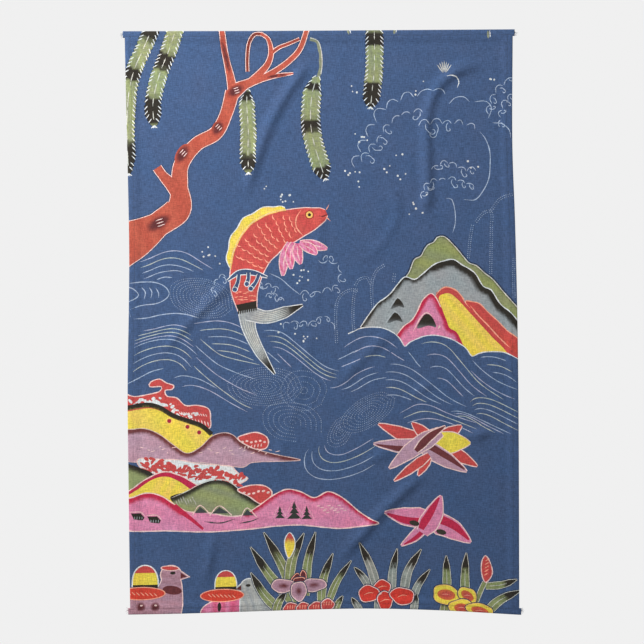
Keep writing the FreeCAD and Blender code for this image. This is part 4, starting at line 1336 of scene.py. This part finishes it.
def face_mesh(shapes):
    """The printed face as flat points, the triangles between them, and its border as a loop of vertices."""
    flat, triangles = triangulate(face_loops() + [(outline, True) for outline, _ in shapes], grid(3.0, 1.5))
    solid = np.abs(turns(flat, triangles)) > 1e-7
    within = edge_inset(flat[triangles].mean(1)) > 0
    triangles = wound(flat, triangles[solid & within])
    used, triangles = np.unique(triangles, return_inverse=True)
    flat, triangles = flat[used], triangles.reshape(-1, 3)
    return flat, triangles, border_of(triangles)


def moved_in(edge, depth):
    """A closed edge moved inwards by the depth. Its direction is read half a millimetre to each side."""
    walk = np.r_[0, np.cumsum(np.linalg.norm(np.diff(np.vstack([edge, edge[:1]]), axis=0), axis=1))]

    def place(distance):
        at = (walk[:-1] + distance) % walk[-1]
        return np.column_stack([np.interp(at, walk, np.r_[edge[:, i], edge[0, i]]) for i in (0, 1)])

    along = place(0.5) - place(-0.5)
    inward = np.column_stack([-along[:, 1], along[:, 0]])
    return edge + inward / np.linalg.norm(inward, axis=1)[:, None] * depth


def back_mesh(inner_edge):
    """The cloth's back as flat points and the triangles between them, which face down."""
    loops = [(inner_edge, True), (ring(0.65), True), (ring(FOLD_RADIUS + 0.05), True)]
    under, triangles = triangulate(loops, grid(6.0, 3.0))
    triangles = triangles[inside(inner_edge, under[triangles].mean(1))]
    return under, wound(under, triangles, -1)


def edge_strip(border, nearest):
    """Faces that join the face's border to the nearest points of the back."""
    strip = []
    for i in range(len(border)):
        j = (i + 1) % len(border)
        quad = [border[j], border[i], nearest[i], nearest[j]]
        strip.append(quad if nearest[i] != nearest[j] else quad[:3])
    return strip


def build_cloth(shapes):
    """The cloth: its printed face, its back 0.5 mm under it, and the strip that closes its edge."""
    flat, triangles, border = face_mesh(shapes)
    places = flat[triangles]
    colours = colours_at(shapes, places.mean(1), places)

    inner_edge = moved_in(flat[border], CLOTH)
    under, under_triangles = back_mesh(inner_edge)
    count = len(flat)
    nearest = [count + int(np.argmin(((under - point) ** 2).sum(1))) for point in inner_edge]
    strip = edge_strip(border, nearest)

    top = np.column_stack([laid(flat) + settled(flat)[:, :2], face(flat)])
    bottom = np.column_stack([laid(under) + settled(under)[:, :2], back(under)])
    faces = triangles.tolist() + (under_triangles + count).tolist() + strip
    cloth = make_mesh("towel_cloth", np.vstack([top, bottom]), faces)
    corners = np.array([len(p.vertices) for p in cloth.data.polygons])
    unprinted = np.broadcast_to(BACK_COLOUR, (int(corners[len(triangles):].sum()), 3))
    paint(cloth, np.vstack([colours.reshape(-1, 3), unprinted]))
    map_flat(cloth, np.vstack([flat, under]))
    return cloth


def hem_profile():
    """The double-turned hem in section, as (inset from the edge, height) points, and how many show print."""
    def arc(u, z, radius, start, end, count):
        for i in range(count + 1):
            angle = math.radians(start + (end - start) * i / count)
            yield u + radius * math.cos(angle), z + radius * math.sin(angle)

    turn = HEM_DEPTH - TURN_RADIUS
    groove = [(SEAM_INSET - 0.35, 0), (SEAM_INSET - 0.2, 0.24), (SEAM_INSET + 0.2, 0.24),
              (SEAM_INSET + 0.35, 0)]
    outer = list(arc(FOLD_RADIUS, FOLD_RADIUS, FOLD_RADIUS, 180, 270, 5)) + [(2.6, 0), (4.4, 0)] + groove
    outer += list(arc(turn, TURN_RADIUS, TURN_RADIUS, -90, 90, 8))
    layer = CLOTH + LAYER_GAP
    inner = [(1.1, 2 * TURN_RADIUS), (1.1, layer), (turn, layer)]
    inner += [(turn + LAYER_GAP / 2, CLOTH + LAYER_GAP / 2), (turn, CLOTH)]
    inner += list(arc(FOLD_RADIUS, FOLD_RADIUS, FOLD_RADIUS - CLOTH, 270, 180, 4))
    return outer + inner, len(outer)


def on_edge(edge, inset, run):
    """Flat points along one edge, inset from it, at the distances run from its middle."""
    sign = 1 if edge in ("top", "right") else -1
    if edge in ("top", "bottom"):
        return np.column_stack([run, np.full(len(run), sign * (HALF_LENGTH - inset))])
    return np.column_stack([np.full(len(run), sign * (HALF_WIDTH - inset)), run])


def build_hem(name, shapes, edge, half_run):
    """One hem: its profile carried along an edge. edge is 'top', 'bottom', 'left' or 'right'."""
    profile, printed = hem_profile()
    run = np.linspace(-half_run, half_run, round(2 * half_run / 2.5) + 1)
    stations, n = len(run), len(profile)
    flat = np.vstack([on_edge(edge, inset, run) for inset, _ in profile])
    height = np.repeat([z for _, z in profile], stations)
    rows = [i * stations for i in range(n)]
    faces = [[a + k, a + k + 1, b + k + 1, b + k] for a, b in zip(rows, rows[1:] + rows[:1])
             for k in range(stations - 1)]
    faces += [rows, [a + stations - 1 for a in reversed(rows)]]
    if edge in ("top", "left"):
        faces = [corners[::-1] for corners in faces]
    hem = make_mesh(name, np.column_stack([laid(flat), height]), faces)
    places = [flat[list(p.vertices)] for p in hem.data.polygons]
    middles = np.array([p.mean(0) for p in places])
    found = colours_at(shapes, middles, middles[:, None, :])[:, 0]
    found[(printed - 1) * (stations - 1):] = BACK_COLOUR
    paint(hem, np.repeat(found, [len(p) for p in places], axis=0))
    map_flat(hem, flat)
    return hem


class Yarns:
    """Thin closed tubes of thread, gathered into one mesh, with each point's place on the flat cloth."""
    SIDES = 6

    def __init__(self):
        self.corners, self.faces, self.flat = [], [], []

    def add(self, flat, height, radii):
        """Adds one tube along flat points, at the given heights."""
        first = len(self.corners)
        place = laid(flat)
        way = np.gradient(place, axis=0)
        way /= np.linalg.norm(way, axis=1)[:, None]
        for (x, y), (along, aside), z, radius in zip(place, way, height, radii):
            for k in range(self.SIDES):
                angle = 2 * math.pi * k / self.SIDES
                shift = radius * math.cos(angle)
                rise = 0.8 * radius * math.sin(angle)
                self.corners.append((x - aside * shift, y + along * shift, max(z + rise, 0.01)))
        for start in range(first, len(self.corners) - self.SIDES, self.SIDES):
            for k in range(self.SIDES):
                a, b = start + k, start + (k + 1) % self.SIDES
                self.faces.append([a, a + self.SIDES, b + self.SIDES, b])
        self.faces.append([first + k for k in range(self.SIDES)])
        self.faces.append([len(self.corners) - 1 - k for k in range(self.SIDES)])
        self.flat.append(np.repeat(flat, self.SIDES, axis=0))


def add_stitches(yarns, edge, half_run, on_face, pick):
    """A row of stitches along an edge: short rounded bights between needle holes, and a loose tail."""
    sign = 1 if edge in ("top", "right") else -1
    t = np.linspace(0, 1, 7)
    stitches = int(2 * half_run / STITCH)
    for s in range(stitches + 1):
        last = s == stitches
        start = -half_run + s * STITCH
        length = max(half_run - start, 0.4) + TAIL if last else STITCH
        drift = pick.uniform(-0.06, 0.06)
        flat = on_edge(edge, SEAM_INSET, start + length * (0.04 + 0.92 * t))
        across = 0 if edge in ("left", "right") else 1
        flat[:, across] -= sign * (drift * np.sin(math.pi * t) + 0.5 * t * last)
        rise = 1 - 0.5 * t if last else np.sqrt(np.sin(math.pi * t).clip(0))
        height = face(flat) + 0.10 * rise if on_face else 0.2 - 0.04 * rise
        yarns.add(flat, height, THREAD_RADIUS * (0.55 + 0.45 * np.sin(math.pi * t)))


def add_frayed_ends(yarns, edge, half_run, pick):
    """Loose yarns that splay out of both ends of the top or bottom hem."""
    sign = 1 if edge == "top" else -1
    t = np.linspace(0, 1, 7)
    for end in (-1, 1):
        for lean in (-50, -15, 10, 35, 65):
            length = pick.uniform(2.2, 4.6)
            angle = math.radians(lean)
            out = half_run - 0.4 + length * t * math.cos(angle)
            up = sign * (HALF_LENGTH - 4.0) + length * t * math.sin(angle) + 0.5 * np.sin(5 * t)
            yarns.add(np.column_stack([end * out, up]), 1.1 - 0.95 * t, THREAD_RADIUS * (1.1 - 0.6 * t))


def build_thread(name, shapes, edge, half_run, on_face):
    """One seam's thread on the face, where it is printed over and darkened with painted shade of the seam's
    groove, or on the underside.
    """
    pick = random.Random(len(name) * 7 + (1 if edge in ("top", "right") else -1))
    yarns = Yarns()
    add_stitches(yarns, edge, half_run, on_face, pick)
    if on_face and edge in ("top", "bottom"):
        add_frayed_ends(yarns, edge, half_run, pick)
    thread = make_mesh(name, yarns.corners, yarns.faces)
    flat = np.vstack(yarns.flat)
    polygons = [list(p.vertices) for p in thread.data.polygons]
    if on_face:
        middles = np.array([flat[corners].mean(0) for corners in polygons])
        # painted shade: the face thread takes the print's colour at 0.62, as shade in the seam's groove that
        # it lies in
        colours = colours_at(shapes, middles, middles[:, None, :])[:, 0] * 0.62
    else:
        colours = np.broadcast_to(BACK_COLOUR * 1.05, (len(polygons), 3))
    paint(thread, np.repeat(colours, [len(corners) for corners in polygons], axis=0))
    map_flat(thread, flat)
    return thread


# ---------------------------------------------------------------- materials
class Nodes:
    """A short way to write a material's nodes."""

    def __init__(self, name):
        self.material = bpy.data.materials.new(name)
        self.material.use_nodes = True
        self.tree = self.material.node_tree
        self.shader = self.tree.nodes["Principled BSDF"]

    def add(self, kind, inputs=None, **settings):
        node = self.tree.nodes.new(kind)
        for key, value in settings.items():
            setattr(node, key, value)
        for key, value in (inputs or {}).items():
            if isinstance(value, bpy.types.NodeSocket):
                self.tree.links.new(value, node.inputs[key])
            else:
                node.inputs[key].default_value = value
        return node

    def math(self, operation, a, b):
        return self.add("ShaderNodeMath", {0: a, 1: b}, operation=operation).outputs[0]

    def times(self, colour, by):
        return self.add("ShaderNodeVectorMath", {0: colour, 1: by}, operation="MULTIPLY").outputs[0]

    def noise(self, place, scale, detail, stretch=(1, 1, 1)):
        moved = self.add("ShaderNodeMapping", {"Vector": place, "Scale": stretch}).outputs[0]
        return self.add("ShaderNodeTexNoise", {"Vector": moved, "Scale": scale,
                                               "Detail": detail}).outputs["Fac"]

    def set(self, **inputs):
        for key, value in inputs.items():
            key = key.replace("_", " ")
            if isinstance(value, bpy.types.NodeSocket):
                self.tree.links.new(value, self.shader.inputs[key])
            else:
                self.shader.inputs[key].default_value = value


def printed_nodes(name):
    """A new material's node helper, with the place on the flat cloth and the print's colour there."""
    n = Nodes(name)
    flat = n.add("ShaderNodeUVMap", uv_map="flat").outputs[0]
    return n, flat, n.add("ShaderNodeVertexColor", layer_name="print").outputs["Color"]


def cloth_material(name, slub):
    """Matte plain-weave cotton in the print's colours, broken up by thick and thin yarns and uneven dye, with
    painted highlight where the weave and the thick yarns stand up.
    """
    n, flat, printed = printed_nodes(name)
    parts = n.add("ShaderNodeSeparateXYZ", {0: flat})
    warp, weft = (n.math("SINE", n.math("MULTIPLY", part, 2 * math.pi / WEAVE_PITCH), 0)
                  for part in parts.outputs[:2])
    weave = n.math("MULTIPLY", warp, weft)
    yarns = n.math("ADD", n.noise(flat, 1.0, 3, (1100, 170, 1)), n.noise(flat, 1.0, 3, (170, 1100, 1)))

    def uneven(pattern, middle, strength):
        return n.math("MULTIPLY", n.math("SUBTRACT", pattern, middle), strength)

    patches = n.math("ADD", uneven(n.noise(flat, 55, 4), 0.5, 0.2), uneven(n.noise(flat, 700, 3), 0.5, 0.55))
    # the thick yarns make the colour lighter where their bump rises: partly their own uneven colour, partly
    # painted highlight
    tone = n.math("ADD", n.math("ADD", uneven(yarns, 1.0, slub * 6), patches), 1.0)
    # painted highlight: the weave lightens the colour by up to 6 % where its bump is high
    tone = n.math("ADD", tone, n.math("MULTIPLY", weave, 0.06))
    drift = uneven(n.noise(flat, 34, 5), 0.5, 0.34)
    less_blue = n.math("SUBTRACT", 1.0, n.math("MULTIPLY", drift, 0.3))
    tint = n.add("ShaderNodeCombineXYZ", {0: n.math("ADD", drift, 1.0), 1: 1.0, 2: less_blue}).outputs[0]
    height = n.math("ADD", n.math("MULTIPLY", weave, 0.5), n.math("MULTIPLY", yarns, 1.4))
    bump = n.add("ShaderNodeBump", {"Height": height, "Strength": 0.6, "Distance": 0.00012})
    n.set(Base_Color=n.times(n.times(printed, tint), tone), Roughness=0.92, Normal=bump.outputs[0],
          Specular_IOR_Level=0.25, Sheen_Weight=0.12, Sheen_Roughness=0.5)
    return n.material


def thread_material(name):
    """Twisted cotton sewing thread, its colour lighter on the twist's ridges and darker in its grooves:
    painted highlight and shade, along with the bump.
    """
    n, flat, printed = printed_nodes(name)
    twist = n.add("ShaderNodeTexWave", {"Vector": flat, "Scale": 900.0, "Distortion": 1.0},
                  bands_direction="DIAGONAL").outputs["Fac"]
    # painted shade and highlight: the colour follows the twist's bump, 0.8 in its grooves up to 1.15 on its
    # ridges
    tone = n.math("ADD", n.math("MULTIPLY", twist, 0.35), 0.8)
    bump = n.add("ShaderNodeBump", {"Height": twist, "Strength": 0.5, "Distance": 0.00004})
    n.set(Base_Color=n.times(printed, tone), Roughness=0.75, Normal=bump.outputs[0], Sheen_Weight=0.2)
    return n.material


def floor_material():
    """An even pale grey ground, lit alike all over."""
    n = Nodes("floor")
    n.set(Base_Color=(0.0, 0.0, 0.0, 1), Roughness=1.0, Specular_IOR_Level=0.0,
          Emission_Color=(0.871, 0.871, 0.871, 1), Emission_Strength=1.0)
    return n.material


# ---------------------------------------------------------------- the scene
def build_towel():
    shapes = draw_print()
    cloth = build_cloth(shapes)
    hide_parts("cloth_panel")
    pieces = [(cloth, cloth_material("printed cotton", 0.16), "printed_cloth")]
    hem_look = cloth_material("hem cotton", 0.12)
    face_look, back_look = thread_material("face thread"), thread_material("back thread")
    long_run, short_run = HALF_WIDTH + EAR, SIDE_HEM_HALF
    extras = []
    for edge, run in (("top", long_run), ("bottom", long_run), ("left", short_run), ("right", short_run)):
        hem = build_hem(f"{edge}_hem_turned", shapes, edge, run)
        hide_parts(f"{edge}_hem")
        needle = build_thread(f"{edge}_stitches_face", shapes, edge, run, True)
        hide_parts(f"{edge}_needle_thread")
        bobbin = build_thread(f"{edge}_stitches_back", shapes, edge, run, False)
        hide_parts(f"{edge}_bobbin_thread")
        pieces += [(hem, hem_look, "hem_cloth"), (needle, face_look, "face_thread"),
                   (bobbin, back_look, "back_thread")]
        extras += [hem, needle, bobbin]
    for obj, look, slot in pieces:
        obj.data.materials.append(look)
        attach(obj, "root")


def add_lamp(name, place, size, power, colour):
    """A round soft lamp that shines at the middle of the towel."""
    light = bpy.data.lights.new(name, "AREA")
    light.shape = "DISK"
    light.size = size
    light.energy = power
    light.color = colour
    obj = bpy.data.objects.new(name, light)
    obj.location = place
    obj.rotation_mode = "QUATERNION"
    obj.rotation_quaternion = (-Vector(place)).to_track_quat("-Z", "Y")
    bpy.context.scene.collection.objects.link(obj)


def build_stage():
    """Floor, light and camera: a flat, pale studio ground, with a soft key light from the upper left."""
    bpy.ops.mesh.primitive_plane_add(size=8, location=(0, 0, 0))
    floor = bpy.context.object
    floor.name = "floor"
    floor.data.materials.append(floor_material())

    world = bpy.data.worlds.new("studio")
    bpy.context.scene.world = world
    world.use_nodes = True
    world.node_tree.nodes["Background"].inputs["Color"].default_value = (1.0, 1.0, 1.0, 1)
    world.node_tree.nodes["Background"].inputs["Strength"].default_value = 0.26

    add_lamp("key", (-0.85, 0.98, 0.85), 0.35, 31, (1.0, 0.99, 0.97))
    add_lamp("fill", (0.9, -0.8, 1.6), 1.2, 1.5, (0.95, 0.98, 1.0))

    camera = bpy.data.cameras.new("camera")
    camera.lens = LENS
    camera.sensor_width = SENSOR
    obj = bpy.data.objects.new("camera", camera)
    obj.location = (VIEW_SHIFT, 0.0, VIEW_WIDTH * LENS / SENSOR)
    bpy.context.scene.collection.objects.link(obj)
    bpy.context.scene.camera = obj
    bpy.context.scene.view_settings.view_transform = "Standard"


build_stage()
SETTLED = settle()
build_towel()
